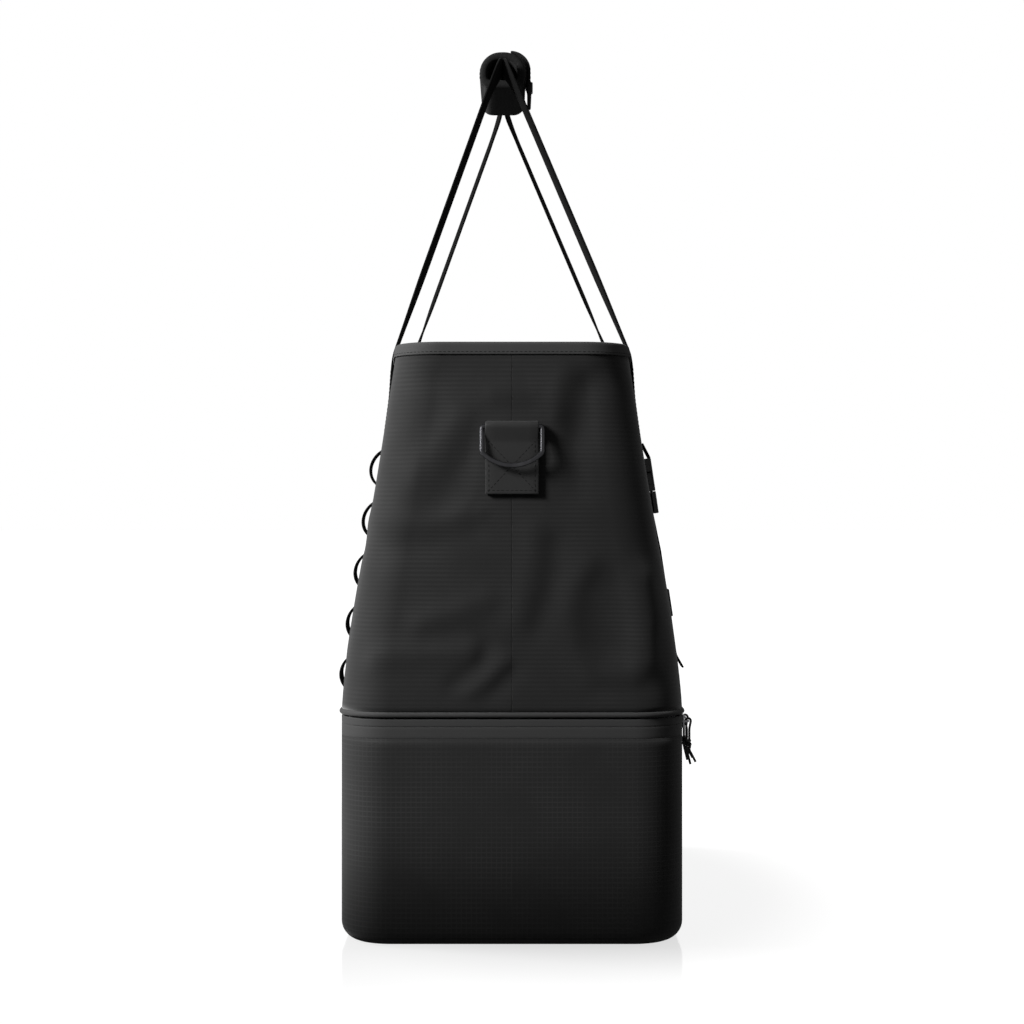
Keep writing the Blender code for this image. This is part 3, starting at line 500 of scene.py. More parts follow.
def fabric(name, base, thread, marks_of, roughness, sheen, relief, gloss=0.0):
    """Cloth whose thicker threads, given by marks_of(tree, u, v) from 0 to 1, are paler and stand up."""
    material, tree = blank_material(name)
    place = add(tree, "ShaderNodeUVMap", uv_map="cloth")
    axes = add(tree, "ShaderNodeSeparateXYZ", {0: place})
    marks = marks_of(tree, axes.outputs["X"], axes.outputs["Y"])
    grain = add(tree, "ShaderNodeTexNoise", {"Vector": place, "Scale": GRAINS_A_METRE, "Detail": 2.0})
    wear = add(tree, "ShaderNodeTexNoise", {"Vector": place, "Scale": PATCHES_A_METRE, "Detail": 3.0})
    worn = add(tree, "ShaderNodeMapRange", {"Value": wear, **WEAR_RANGE})
    marks = add(tree, "ShaderNodeMath", {0: marks, 1: worn}, operation="MULTIPLY")
    tint = add(tree, "ShaderNodeMath", {0: wear, 1: WEAR_TINT}, operation="MULTIPLY")
    specks = add(tree, "ShaderNodeMath", {0: grain, 1: GRAIN_TINT, 2: tint}, operation="MULTIPLY_ADD")
    # The thicker threads' paleness: partly their own tone, partly a painted sheen along them
    pale = add(tree, "ShaderNodeMath", {0: marks, 1: specks}, use_clamp=True)
    colour = add(tree, "ShaderNodeMix", {0: pale, 6: linear(base), 7: linear(thread)}, data_type="RGBA")
    height = add(tree, "ShaderNodeMath", {0: grain, 1: GRAIN_RELIEF, 2: marks}, operation="MULTIPLY_ADD")
    bump = add(tree, "ShaderNodeBump", {"Height": height, "Strength": WEAVE_BUMP, "Distance": relief})
    feeds = {"Base Color": colour.outputs[2], "Roughness": roughness, "Sheen Weight": sheen,
             "Sheen Roughness": SHEEN_ROUGHNESS, "Specular IOR Level": gloss, "Normal": bump}
    shader = add(tree, "ShaderNodeBsdfPrincipled", feeds)
    add(tree, "ShaderNodeOutputMaterial", {"Surface": shader})
    return material


def checked(upright, level):
    """Threads woven in both ways. Each is (pitch, width, how much paler it is)."""
    def marks(tree, u, v):
        sides = [thread_lines(tree, along, *threads) for along, threads in ((u, upright), (v, level))]
        return add(tree, "ShaderNodeMath", {0: sides[0], 1: sides[1]}, operation="MAXIMUM")
    return marks


def chevrons(turn, pitch, share):
    """Slanting threads that turn back each time they have crossed a width."""
    def marks(tree, u, v):
        zigzag = add(tree, "ShaderNodeMath", {0: u, 1: turn}, operation="PINGPONG")
        slant = add(tree, "ShaderNodeMath", {0: zigzag, 1: v})
        return thread_lines(tree, slant, pitch, pitch * 0.4, share)
    return marks


print("grain of", round(1000 / GRAINS_A_METRE, 1), "mm and wear of", round(1000 / PATCHES_A_METRE), "mm")

# %% Finishes for cloth, webbing and cord
RIBS = checked((0.0033, 0.0004, 0.10), (0.0033, 0.0016, 0.40))
SQUARES = checked((0.0036, 0.0006, 0.40), (0.0036, 0.0007, 0.60))
# Tape is woven about 0.4 mm apart and film is embossed about 1 mm apart. Both are drawn coarser, to show
TAPE_WEAVE = checked((0.0012, 0.0004, 0.20), (0.0012, 0.0004, 0.30))
LINING_WEAVE = checked((0.0050, 0.0004, 0.30), (0.0050, 0.0004, 0.30))
FILM_EMBOSS = checked((0.0050, 0.0005, 0.40), (0.0050, 0.0005, 0.40))

# Dyed yarn, ribbed on the loom: matt, with a soft bloom at grazing angles, and a thin line of painted
# sheen on each rib
ribbed = fabric("ribbed polyester", "#2a2a2a", "#383838", RIBS, 0.62, 0.42, 0.00008)
# Calendered flat with a net of thicker threads: a little smoother, with fine squares partly of painted sheen
ripstop = fabric("ripstop nylon", "#303030", "#404040", SQUARES, 0.55, 0.22, 0.00010)
# A film over fine weave: paler and smoother than the panels, so that rim and zip read as edges
coated_tape = fabric("coated zip tape", "#444444", "#4e4e4e", TAPE_WEAVE, 0.50, 0.15, 0.00006)
# The proofed back of the cloth: darker than its face, with no bloom to speak of
coated_lining = fabric("coated lining", "#262626", "#343434", LINING_WEAVE, 0.48, 0.05, 0.00006)
# Grey welded film: pale, and the one soft finish with a wet shine
pale_liner = fabric("wipe-clean liner", "#6c6e70", "#828486", FILM_EMBOSS, 0.36, 0.0, 0.00008, 0.4)
# Brushed after weaving: the short pile swallows light, so the grip is dark and has no highlight
pad_cloth = fabric("brushed grip cloth", "#262626", "#323232", RIBS, 0.70, 0.05, 0.00008)
# Tight herringbone of black yarn: the darkest cloth, from every side
webbing = fabric("polyester webbing", "#131313", "#1c1c1c", chevrons(0.0031, 0.0016, 0.3), 0.58, 0.04, 0.00006)
# The same weave pressed flat: paler, with a dim shine along its face
satin = fabric("satin webbing", "#2e2e2e", "#383838", chevrons(0.0031, 0.0016, 0.2), 0.45, 0.08, 0.00004, 0.08)
# Braided strands of about 0.6 mm, drawn coarser so that the crossing flecks show
braid = fabric("braided cord", "#383838", "#6c6c6c", chevrons(0.0013, 0.0011, 0.8), 0.70, 0.15, 0.00015)
# Twisted, then bonded with resin: smooth and dark, so a row of stitches reads by its shadow
thread_finish = fabric("bonded thread", "#161616", "#242424", chevrons(0.0005, 0.0004, 0.5), 0.5, 0.10,
                       0.00002)
print("10 cloth finishes")

# %% [markdown]
# ## Finishes for what is moulded, cast or foamed
# The buckles are acetal from a textured mould, the rings are plated steel wire, the sliders are cast zinc, and
# foam and board lie inside. A plain colour and roughness would look like new plastic on all of them. A fine
# grain and slow patches of wear, both by noise on Object coordinates, give each its own dullness, and need no
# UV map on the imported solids.

# %% Finishes for hard pieces and foam
# Handling wears patches of about 11 mm
HANDLING_A_METRE = 90.0
HANDLED = {"From Min": 0.45, "From Max": 0.7}
SHINE_SPREAD = 0.08
GRAIN_BUMP = 0.5


def grained(name, base, worn, roughness, metallic, grain_size, relief, gloss=0.5):
    """A hard surface with a fine grain, and patches of wear that differ in colour."""
    material, tree = blank_material(name)
    place = add(tree, "ShaderNodeTexCoord").outputs["Object"]
    grain = add(tree, "ShaderNodeTexNoise", {"Vector": place, "Scale": 1 / grain_size, "Detail": 2.0})
    patch = add(tree, "ShaderNodeTexNoise", {"Vector": place, "Scale": HANDLING_A_METRE, "Detail": 4.0})
    wear = add(tree, "ShaderNodeMapRange", {"Value": patch, **HANDLED})
    colour = add(tree, "ShaderNodeMix", {0: wear, 6: linear(base), 7: linear(worn)}, data_type="RGBA")
    feeds = {"Value": grain, "To Min": roughness - SHINE_SPREAD, "To Max": roughness + SHINE_SPREAD}
    shine = add(tree, "ShaderNodeMapRange", feeds)
    bump = add(tree, "ShaderNodeBump", {"Height": grain, "Strength": GRAIN_BUMP, "Distance": relief})
    feeds = {"Base Color": colour.outputs[2], "Roughness": shine, "Metallic": metallic,
             "Specular IOR Level": gloss, "Normal": bump}
    shader = add(tree, "ShaderNodeBsdfPrincipled", feeds)
    add(tree, "ShaderNodeOutputMaterial", {"Surface": shader})
    return material


# A textured mould leaves a grain of about 0.1 mm, drawn at 0.6 mm to show: a satin highlight on near black
acetal = grained("moulded acetal", "#141414", "#1d1d1d", 0.42, 0.0, 0.0006, 0.00006, 0.15)
# Black plate over steel: a dark metal that mirrors the white round it as thin lines. Its marks are far finer
# than 0.4 mm, and are drawn at that to show
steel = grained("black-plated steel", "#28282a", "#343436", 0.36, 0.85, 0.0004, 0.00002)
# A die-cast skin, with marks drawn as coarse as the steel's: nearly the same shine on a paler grey
zinc = grained("cast zinc", "#4a4a4c", "#5a5a5c", 0.38, 0.85, 0.0004, 0.00002)
# Cut from a block through its cells, which are about 1 mm: dull and faintly pitted
foam = grained("closed-cell foam", "#3a3a3c", "#464648", 0.88, 0.0, 0.0012, 0.00030)
# Extruded sheet: flat, dark and dull
board = grained("stiff board", "#181818", "#1e1e1e", 0.60, 0.0, 0.0010, 0.00004)
print("5 hard finishes")

# %% [markdown]
# ## Stitches and zip teeth by Geometry Nodes
# Stitches and the turns of a zip's coil are small beads at an even spacing along a line. They could be placed
# one by one, or by an Array on a curve, but there are thousands on dozens of lines. One Geometry Nodes tree
# lays them along every edge line of a mesh, turned to follow it, and hands back one plain mesh a body.

# %% The bead tree
BEAD_SEGMENTS = 6
BEAD_RINGS = 4


def bead_tree():
    """Geometry Nodes: ellipsoids of a given length and width, evenly spaced along edge lines."""
    tree = bpy.data.node_groups.new("beads on lines", "GeometryNodeTree")
    tree.interface.new_socket("Lines", in_out="INPUT", socket_type="NodeSocketGeometry")
    for name in ("Spacing", "Length", "Width"):
        tree.interface.new_socket(name, in_out="INPUT", socket_type="NodeSocketFloat")
    tree.interface.new_socket("Finish", in_out="INPUT", socket_type="NodeSocketMaterial")
    tree.interface.new_socket("Beads", in_out="OUTPUT", socket_type="NodeSocketGeometry")
    given = add(tree, "NodeGroupInput").outputs
    curves = add(tree, "GeometryNodeMeshToCurve", {"Mesh": given["Lines"]})
    feeds = {"Curve": curves, "Length": given["Spacing"]}
    points = add(tree, "GeometryNodeCurveToPoints", feeds, mode="LENGTH")
    feeds = {"Segments": BEAD_SEGMENTS, "Rings": BEAD_RINGS, "Radius": 0.5}
    bead = add(tree, "GeometryNodeMeshUVSphere", feeds)
    size = add(tree, "ShaderNodeCombineXYZ", {0: given["Width"], 1: given["Width"], 2: given["Length"]})
    shaped = add(tree, "GeometryNodeTransform", {"Geometry": bead, "Scale": size})
    smooth = add(tree, "GeometryNodeSetShadeSmooth", {"Geometry": shaped})
    feeds = {"Points": points, "Instance": smooth, "Rotation": points.outputs["Rotation"]}
    laid = add(tree, "GeometryNodeInstanceOnPoints", feeds)
    real = add(tree, "GeometryNodeRealizeInstances", {"Geometry": laid})
    painted = add(tree, "GeometryNodeSetMaterial", {"Geometry": real, "Material": given["Finish"]})
    add(tree, "NodeGroupOutput", {"Beads": painted})
    return tree


bead_nodes = bead_tree()
print("bead tree with", len(bead_nodes.nodes), "nodes")

# %% Laying beads
sewn_lines = {}


def beads(name, lines, body, slot, **values):
    """Lay beads along lines of points and keep the result as a plain mesh that rides on a body."""
    starts = running_length([len(line) for line in lines]).astype(int)
    edges = [(start + i, start + i + 1) for start, line in zip(starts, lines) for i in range(len(line) - 1)]
    mesh = bpy.data.meshes.new(name + "_lines")
    mesh.from_pydata(np.vstack(lines).tolist(), edges, [])
    guide = bpy.data.objects.new(name + "_lines", mesh)
    scene.collection.objects.link(guide)
    step = guide.modifiers.new("beads", "NODES")
    step.node_group = bead_nodes
    for socket in bead_nodes.interface.items_tree:
        if socket.name in values:
            step[socket.identifier] = values[socket.name]
    ready = guide.evaluated_get(bpy.context.evaluated_depsgraph_get())
    plain = bpy.data.meshes.new_from_object(ready)
    bpy.data.objects.remove(guide)
    piece = bpy.data.objects.new(name, plain)
    scene.collection.objects.link(piece)
    return dress(piece, body, slot)


def sew(body, *lines):
    """Note lines of stitching, to be laid on a body when every piece is made."""
    sewn_lines.setdefault(body, []).extend(np.array(line, float) for line in lines)


print(len(sewn_lines), "bodies have stitches so far")

# %% [markdown]
# ## Folds in the tote
# The tote hangs slack between its stiff rim, the seam and whatever is sewn to it, so it has soft folds. A
# cloth simulation would make folds too, but not these ones. So each fold is a stroke with a width and a
# height, in millimetres: on the ends as the photograph shows them, and on the long sides from a fixed seed.

# %% Folds
MM = 0.001
FOLD_SPREAD = 1.6
SIDE_FOLDS = 18

# Folds of the end, as (half width, height, line of (y, z)) in millimetres
END_FOLDS = [
    (6, 2.0, [(-38, 420), (-28, 385)]),
    (7, -2.6, [(-62, 418), (-52, 392), (-46, 365)]),
    (5, 1.4, [(12, 397), (-14, 397)]),
    (5, -1.4, [(10, 380), (-14, 380)]),
    (7, 2.2, [(66, 340), (38, 378)]),
    (7, -2.2, [(52, 318), (24, 358)]),
    (6, 2.0, [(96, 304), (60, 304), (25, 314)]),
    (6, -1.2, [(96, 284), (60, 288), (28, 296)]),
    (7, 1.8, [(-15, 296), (-13, 262), (-4, 236)]),
    (6, -1.8, [(-31, 288), (-28, 258), (-19, 230)]),
    (6, 2.2, [(64, 233), (40, 241), (20, 248)]),
    (5, -1.2, [(60, 221), (25, 224)]),
    (6, 2.6, [(98, 208), (60, 211), (30, 213)]),
    (4, -2.0, [(42, 188), (23, 202), (18, 216)]),
    (4, 2.2, [(29, 182), (7, 204)]),
    (4, -1.5, [(12, 181), (-1, 197)]),
    (6, 2.0, [(-54, 274), (-44, 256), (-42, 236), (-46, 212), (-60, 196), (-84, 194)]),
    (11, -2.6, [(-67, 254), (-69, 218)]),
    (8, 4.2, [(-95, 262), (-99, 236), (-95, 206)]),
    (8, -1.8, [(-48, 372), (-47, 330)]),
    (5, -1.2, [(-62, 184), (-92, 184)]),
]


def side_folds(seed):
    """Soft upright and slanting folds for a long side, from a fixed seed."""
    dice = np.random.default_rng(seed)
    folds = []
    for i in range(SIDE_FOLDS):
        x, z = dice.uniform(-165, 165), dice.uniform(195, 380)
        run, rise = dice.uniform(-35, 35), dice.uniform(15, 60)
        height = dice.uniform(0.8, 2.0) * (1 if i % 2 else -1)
        line = [(x, z), (x + run / 2, z + rise), (x + run, z + rise * 1.6)]
        folds.append((dice.uniform(7, 14), height, line))
    return folds


def fold_height(across, up, folds):
    """Height of all the folds at points given in metres."""
    across, up = across / MM, up / MM
    total = np.zeros_like(across)
    for width, height, line in folds:
        away = np.full_like(across, np.inf)
        for (a, b), (c, d) in zip(line, line[1:]):
            share = np.clip(((across - a) * (c - a) + (up - b) * (d - b)) / ((c - a)**2 + (d - b)**2), 0, 1)
            away = np.minimum(away, np.hypot(across - a - share * (c - a), up - b - share * (d - b)))
        total += height * np.exp(-(away / (FOLD_SPREAD * width)) ** 2)
    return total * MM


print(len(END_FOLDS), "folds on each end and", SIDE_FOLDS, "on each long side")

# %% [markdown]
# ## Tote cloth
# Each half of the tote is one sheet of cloth, sewn to the other down the middle of both ends, where the edges
# roll in to a fine groove. The sheet could be sculpted, but then it would no longer meet what is sewn to it.
# So the outline gives its rows, and the folds only lift it where it is slack: not at the rim, not at the
# seam, and not under webbing.

# %% Slack and stiff cloth
HANDLE_X = 0.100
TAB_DROP = 0.0564
TAB_LENGTH = 0.052
# Where the cloth goes from stiff to slack, as distances from the rim, the seam, a strap and the ring's tab
RIM_EASE = (0.006, 0.030)
SEAM_EASE = (0.002, 0.018)
STRAP_EASE = (0.014, 0.030)
TAB_EASE = (0.019, 0.032)
TAB_EASE_UP = 0.014
# The ends are rounder than the outline: where that sets in
ROUND_REACH = 0.030
ROUND_RISE = 0.060


def ease(value, low, high):
    share = np.clip((value - low) / (high - low), 0, 1)
    return share * share * (3 - 2 * share)


def cloth_free(z):
    """0 at the stiff rim and seam, and 1 between them."""
    return ease(PANEL_TOP - z, *RIM_EASE) * ease(z - PANEL_BOTTOM, *SEAM_EASE)


def slack(grid):
    """1 where the cloth hangs free, and 0 at the rim, the seam and under whatever is fixed to it."""
    x, y, z = np.moveaxis(grid, 2, 0)
    straps = ease(abs(abs(x) - HANDLE_X), *STRAP_EASE)
    half = TAB_LENGTH / 2
    tab_z = RIM_HEIGHT - TAB_DROP - half
    tab = np.maximum(ease(abs(y), *TAB_EASE), ease(abs(z - tab_z), half, half + TAB_EASE_UP))
    return cloth_free(z) * straps * tab


def end_round(grid):
    """How far the end's cloth draws back, from 0 at the middle and round the corners to 1 in between."""
    x, y, z = np.moveaxis(grid, 2, 0)
    length, depth, corner, _ = np.array([plan(height) for height in z[:, 0]]).T[:, :, None]
    rise = np.clip(abs(y) / (depth - corner), 0, 1) ** 2
    set_in = ease(z - PANEL_BOTTOM, 0.0, ROUND_RISE)
    return rise * ease(abs(x), length - ROUND_REACH, length) * cloth_free(z) * set_in


print("cloth hangs free from", SEAM_EASE[1] / MM, "mm above the seam to", RIM_EASE[1] / MM, "mm under the rim")

# %% Tote halves
PANEL_THICK = 0.002
PANEL_ROWS = 67
END_ROUND = 0.004
END_EASE = (0.160, 0.196)
FAR_END_LIFT = 0.006
SEAM_ROLL = (-0.00016, -0.00008, -0.00003)


def unit(vectors):
    return vectors / np.linalg.norm(vectors, axis=-1, keepdims=True)


def outward(grid):
    """Unit normals of a grid whose rows go up and whose columns go anticlockwise."""
    return unit(np.cross(np.gradient(grid, axis=1), np.gradient(grid, axis=0)))


def tote_half(name, node, turn, seed):
    heights = np.linspace(PANEL_BOTTOM, PANEL_TOP, PANEL_ROWS)
    rows = np.array([half_outline(z, 0.0, turn, 0.0) for z in heights])
    x, y, z = np.moveaxis(rows, 2, 0)
    at_end = ease(abs(x), *END_EASE)
    near_end, far_end = fold_height(y, z, END_FOLDS), fold_height(-y, z - FAR_END_LIFT, END_FOLDS)
    end_height = np.where(x < 0, near_end, far_end)
    side_height = fold_height(x, z, side_folds(seed))
    height = (end_height * at_end + side_height * (1 - at_end)) * slack(rows)
    height -= END_ROUND * end_round(rows)
    roll = np.zeros(rows.shape[1])
    if turn < 0:
        roll[:3] = roll[-1:-4:-1] = SEAM_ROLL
    rows = rows + outward(rows) * (height + roll)[..., None]
    piece = cloth(name, rows, ribbed, PANEL_THICK, closed=False, lining=coated_lining)
    return dress(piece, "upper_tote", "panel_cloth", node)


tote_half("tote_front_cloth", "front_panel", 1, seed=11)
tote_half("tote_back_cloth", "back_panel", -1, seed=23)
print("2 halves of the tote, each with", PANEL_ROWS, "rows")

# %% [markdown]
# ## Bound rim and corded seam
# The open rim is covered by a folded tape, sewn through near its lower edge. Where the tote meets its lid, a
# cord inside a bias strip stands out as piping. Both could be curves with a bevel, but a bevel twists at
# tight corners. The outline at a list of heights and insets gives one closed ring round the whole bag.

# %% Rim binding and piping
BIND_THICK = 0.0012
BIND_WIDTH = 0.0090
BIND_SOFT = 0.0004
BIND_STITCH = 0.0018
PIPING = 0.0040


def rim_binding():
    low = RIM_HEIGHT - BIND_WIDTH
    half = (PANEL_THICK + 2 * FIT + BIND_THICK) / 2
    middle = PANEL_THICK / 2
    turn = np.linspace(0, math.pi, 13)
    shoulder = RIM_HEIGHT - BIND_THICK / 2 - half
    profile = [(z, middle - half) for z in np.linspace(low, shoulder, 6)[:-1]]
    profile += list(zip(shoulder + half * np.sin(turn), middle - half * np.cos(turn)))
    profile += [(z, middle + half) for z in np.linspace(shoulder, low, 6)[1:]]
    rows = np.array([outline(z, inset) for z, inset in profile])
    piece = cloth("rim_tape", rows, coated_tape, BIND_THICK, side=0.0)
    soften(piece, BIND_SOFT)
    for inset in (middle - half - BIND_THICK / 2, middle + half + BIND_THICK / 2):
        line = outline(low + BIND_STITCH, inset)
        sew("upper_tote", np.vstack([line, line[:1]]))
    return dress(piece, "upper_tote", "zip_tape", "rim_binding")


def seam_piping():
    angle = np.linspace(0, 2 * math.pi, 13)
    height, inset = SEAM_HEIGHT - PIPING / 2 * np.cos(angle), FIT - PIPING / 2 * np.sin(angle)
    rows = np.array([outline(z, away) for z, away in zip(height, inset)])
    mesh = grid_mesh("piping", rows, True)
    rework(mesh, join_rows)
    return dress(new_object("piping", mesh, coated_tape), "upper_tote", "zip_tape", "seam_piping")


rim_binding()
seam_piping()
print("rim tape of", BIND_WIDTH / MM, "mm and piping of", PIPING / MM, "mm")

# %% [markdown]
# ## Zip
# The zip is a reverse coil: from outside only two coated tapes and a thin slit show, and the coil lies behind
# them. It runs from one back corner round the front to the other, and a strip of the same tape closes the
# back. That strip is the hinge. A rigid one would tear off the tote as it tips, and here it is one plain
# sheet at rest that rides on no body.

# %% Zip tapes, coils and hinge strip
TAPE_THICK = 0.0016
TAPE_SOFT = 0.0003
COIL = 0.0010
COIL_PITCH = 0.0016
COIL_TURN = 0.0012
ZIP_LINE = 0.00014
PIPING_GAP = 0.0008
# The outline's columns: where its back half starts, and where the long side at the back starts and ends
to_side = 1 + len(SEAM_STEPS) + END_COLUMNS + CORNER_COLUMNS
back_from = 2 * to_side + SIDE_COLUMNS + 1
side_from = back_from + to_side
side_to = side_from + SIDE_COLUMNS
zip_span = np.r_[side_to:2 * back_from, 0:side_from + 1]


def zip_tape(name, node, low, high, edge, body):
    """A tape between two heights, with the coil sewn behind its free edge."""
    rows = np.array([outline(z)[zip_span] for z in np.linspace(low, high, 5)])
    piece = cloth(name, rows, coated_tape, TAPE_THICK, closed=False)
    soften(piece, TAPE_SOFT)
    dress(piece, body, "zip_tape", node)
    line = outline(edge, TAPE_THICK + COIL / 2)[zip_span][1:-1]
    beads(name + "_coil", [line], body, "zip_tape", Spacing=COIL_PITCH, Length=COIL_TURN, Width=COIL,
          Finish=acetal)


zip_tape("zip_tape_below", "zip_tape_lower", SHELL_TOP, ZIP_HEIGHT - ZIP_LINE / 2, SLIT_LOW - COIL / 2,
         "lower_compartment")
zip_tape("zip_tape_above", "zip_tape_upper", ZIP_HEIGHT + ZIP_LINE / 2, TAPE_TOP - PIPING_GAP,
         SLIT_HIGH + COIL / 2, "upper_tote")

hinge_rows = np.array([outline(z)[side_from:side_to + 1] for z in np.linspace(TAPE_LOW, TAPE_TOP, 21)])
hinge_rows[:, 0, 0] -= FIT
hinge_rows[:, -1, 0] += FIT
hinge = cloth("hinge_strip", hinge_rows, coated_tape, TAPE_THICK, closed=False)
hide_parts("back_hinge")
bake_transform(hinge)
print("2 tapes, 2 coils and the hinge strip")

# %% [markdown]
# ## Lower compartment
# Ripstop cloth is stretched over a foam tub with a stiff board under it, so it stands square with round
# edges. Inside is a welded liner whose flange folds over the foam's edge. A box with a bevel would give one of
# these shapes. A function for the rows of a tub, from the middle of its floor out and up, gives all three, one
# inside the other with a layer's thickness between them.

# %% Shell, foam and liner
SHELL_THICK = 0.002
BOARD_THICK = 0.002
FOAM_THICK = 0.008
FOAM_PLAY = 0.0006
LINER_THICK = 0.001
FLOOR_MIDDLE = 0.002


def floor_insets(edge, count=9):
    """Insets from almost the middle of a floor out to where its edge starts."""
    return np.linspace(BASE_DEPTH / 2 - FLOOR_MIDDLE, edge, count)[:-1]


def tub_rows(inset, floor, edge, top):
    """Rows of a tub: its floor from the middle out, a round bottom edge, then a wall."""
    rows = [outline(floor, away) for away in floor_insets(inset + edge)]
    for turn in np.linspace(0, math.pi / 2, 11):
        rows.append(outline(floor + edge * (1 - math.cos(turn)), inset + edge * (1 - math.sin(turn))))
    rows += [outline(z, inset) for z in np.linspace(floor + edge, top, 25)[1:]]
    return np.array(rows)


def tub(name, rows, finish, thick, slot, node):
    piece = cloth(name, rows, finish, thick, floor=True)
    return dress(piece, "lower_compartment", slot, node)


shell_rows = tub_rows(0.0, 0.0, BASE_EDGE, SHELL_TOP)
tub("shell_cloth", shell_rows, ripstop, SHELL_THICK, "shell_cloth", "lower_shell")

foam_inset = SHELL_THICK + FOAM_PLAY
foam_floor = SHELL_THICK + BOARD_THICK + 2 * FIT
foam_edge = BASE_EDGE - foam_inset
foam_rows = tub_rows(foam_inset, foam_floor, foam_edge, SHELL_TOP)
foam_tub = tub("foam_tub", foam_rows, foam, FOAM_THICK, "foam", "lower_insulation")

layer = FOAM_THICK + FIT
liner_rows = tub_rows(foam_inset + layer, foam_floor + layer, foam_edge - layer, SHELL_TOP + FIT)
flange_insets = np.linspace(foam_inset + layer, TAPE_THICK + FIT, 6)[1:]
flange = [outline(SHELL_TOP + FIT, away) for away in flange_insets]
tub("liner_skin", np.concatenate([liner_rows, flange]), pale_liner, LINER_THICK, "liner", "lower_liner")
print("shell, foam and liner up to", round(SHELL_TOP / MM, 1), "mm")

# %% [markdown]
# ## Lid and tote floor
# The tote's floor is the lid of the lower compartment: a foam pad in the same liner, welded in squares so
# that the foam can't slip. Cloth simulation could puff it, but it would blur the welds. A level sheet with
# pillows by formula keeps the welds sharp and straight, tucks its edge up and is then backed. Over it lies a
# thin floor of coated cloth.

# %% Lid pad
QUILT = 0.030
QUILT_STEP = 0.0025
QUILT_ENDS = (0.0016, 0.0009, 0.0004, 0.0001)
QUILT_SHARP = 0.4
PUFF = 0.0026
LID_EDGE = 0.004


def quilted_rows(low, inset):
    """Rows of a level sheet inside the outline: pillows between welded grooves, and an edge that tucks up."""
    length, depth, corner = (size - inset for size in plan(low)[:3])
    steps = np.arange(1, int(length / QUILT_STEP)) * QUILT_STEP
    x = np.concatenate([[0.0], steps, [length]])
    y = np.concatenate([[0.0], steps[steps < depth - QUILT_STEP], depth - np.array(QUILT_ENDS)])
    x, y = (np.concatenate([-half[:0:-1], half]) for half in (x, y))
    past = np.maximum(abs(y) - (depth - corner), 0.0)
    reach = length - corner + np.sqrt(corner**2 - past**2)
    across, up = x[None, :] * reach[:, None] / length, np.repeat(y[:, None], len(x), axis=1)
    beyond = np.maximum(abs(across) - (length - corner), 0.0)
    to_side = np.minimum(length - abs(across), depth - abs(up))
    to_edge = np.minimum(corner - np.hypot(beyond, past[:, None]), to_side)
    pillow = abs(np.cos(math.pi * across / QUILT) * np.cos(math.pi * up / QUILT)) ** QUILT_SHARP
    tuck = 1 - np.sqrt(1 - np.clip(1 - to_edge / LID_EDGE, 0, 1) ** 2)
    return np.dstack([across, up, low + np.maximum(PUFF * (1 - pillow), LID_EDGE * tuck)])


def back_up(mesh, height):
    """Turn a sheet into a pad: draw its edge up and close it with a flat back at a height."""
    def close(bm):
        drawn = bmesh.ops.extrude_edge_only(bm, edges=[edge for edge in bm.edges if edge.is_boundary])
        for part in drawn["geom"]:
            if isinstance(part, bmesh.types.BMVert):
                part.co.z = height
        bmesh.ops.holes_fill(bm, edges=[edge for edge in bm.edges if edge.is_boundary], sides=0)
        bmesh.ops.recalc_face_normals(bm, faces=bm.faces)
    rework(mesh, close)


lid_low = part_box("lid_liner")[0].z
lid_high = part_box("lid_foam")[1].z
lid_inset = BASE_DEPTH / 2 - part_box("lid_foam")[1].y
lid_mesh = grid_mesh("lid_pad", quilted_rows(lid_low, lid_inset), False)
back_up(lid_mesh, lid_high)
lid = dress(new_object("lid_pad", lid_mesh, pale_liner), "upper_tote", "liner", "lid_foam", "lid_liner")
print("lid pad quilted every", QUILT / MM, "mm")

# %% Tote floor
FLOOR_EDGE = 0.001
FLOOR_RINGS = 24


def slab_rows(low, high, inset, round_edge):
    """Rows of a flat pad with round edges, from the middle of its underside to the middle of its top."""
    insets = floor_insets(inset + round_edge, FLOOR_RINGS)
    rows = [outline(low, away) for away in insets]
    for turn in np.linspace(0, math.pi, 11):
        out = inset + round_edge * (1 - math.sin(turn))
        rise = (high - low) * (1 - math.cos(turn)) / 2
        rows.append(outline(low + rise, out))
    return np.array(rows + [outline(high, away) for away in insets[::-1]])


floor_low, floor_high = (corner.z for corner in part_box("tote_floor"))
floor_rows = slab_rows(floor_low, floor_high, PANEL_THICK + FIT, FLOOR_EDGE)
floor_mesh = grid_mesh("tote_floor_cloth", floor_rows, True)
cap(floor_mesh, len(floor_rows[0]), both=True)
tote_floor = new_object("tote_floor_cloth", floor_mesh, coated_lining)
dress(tote_floor, "upper_tote", "panel_cloth", "tote_floor")
print("tote floor of", round((floor_high - floor_low) / MM, 1), "mm")

# %% [markdown]
# ## Sweeping webbing, cord and wire
# Webbing, cord and wire have one cross-section from end to end. A curve object with a bevel would do, but its
# twist can't be told where to go. Here a cross-section is carried along a smooth path, with the way across
# given at every point, so webbing can fold, twist and narrow just where it should.

# %% Paths and sections
SELVEDGE = 1.04


def front_y(x, z):
    """How far the outside of a long side lies from the middle plane."""
    length, depth, corner, bow = plan(z)
    return depth + bow * (1 - (x / (length - corner)) ** 2)


def front_slope(x, z):
    """How fast the long side falls back along its length."""
    length, depth, corner, bow = plan(z)
    return -2 * bow * x / (length - corner) ** 2


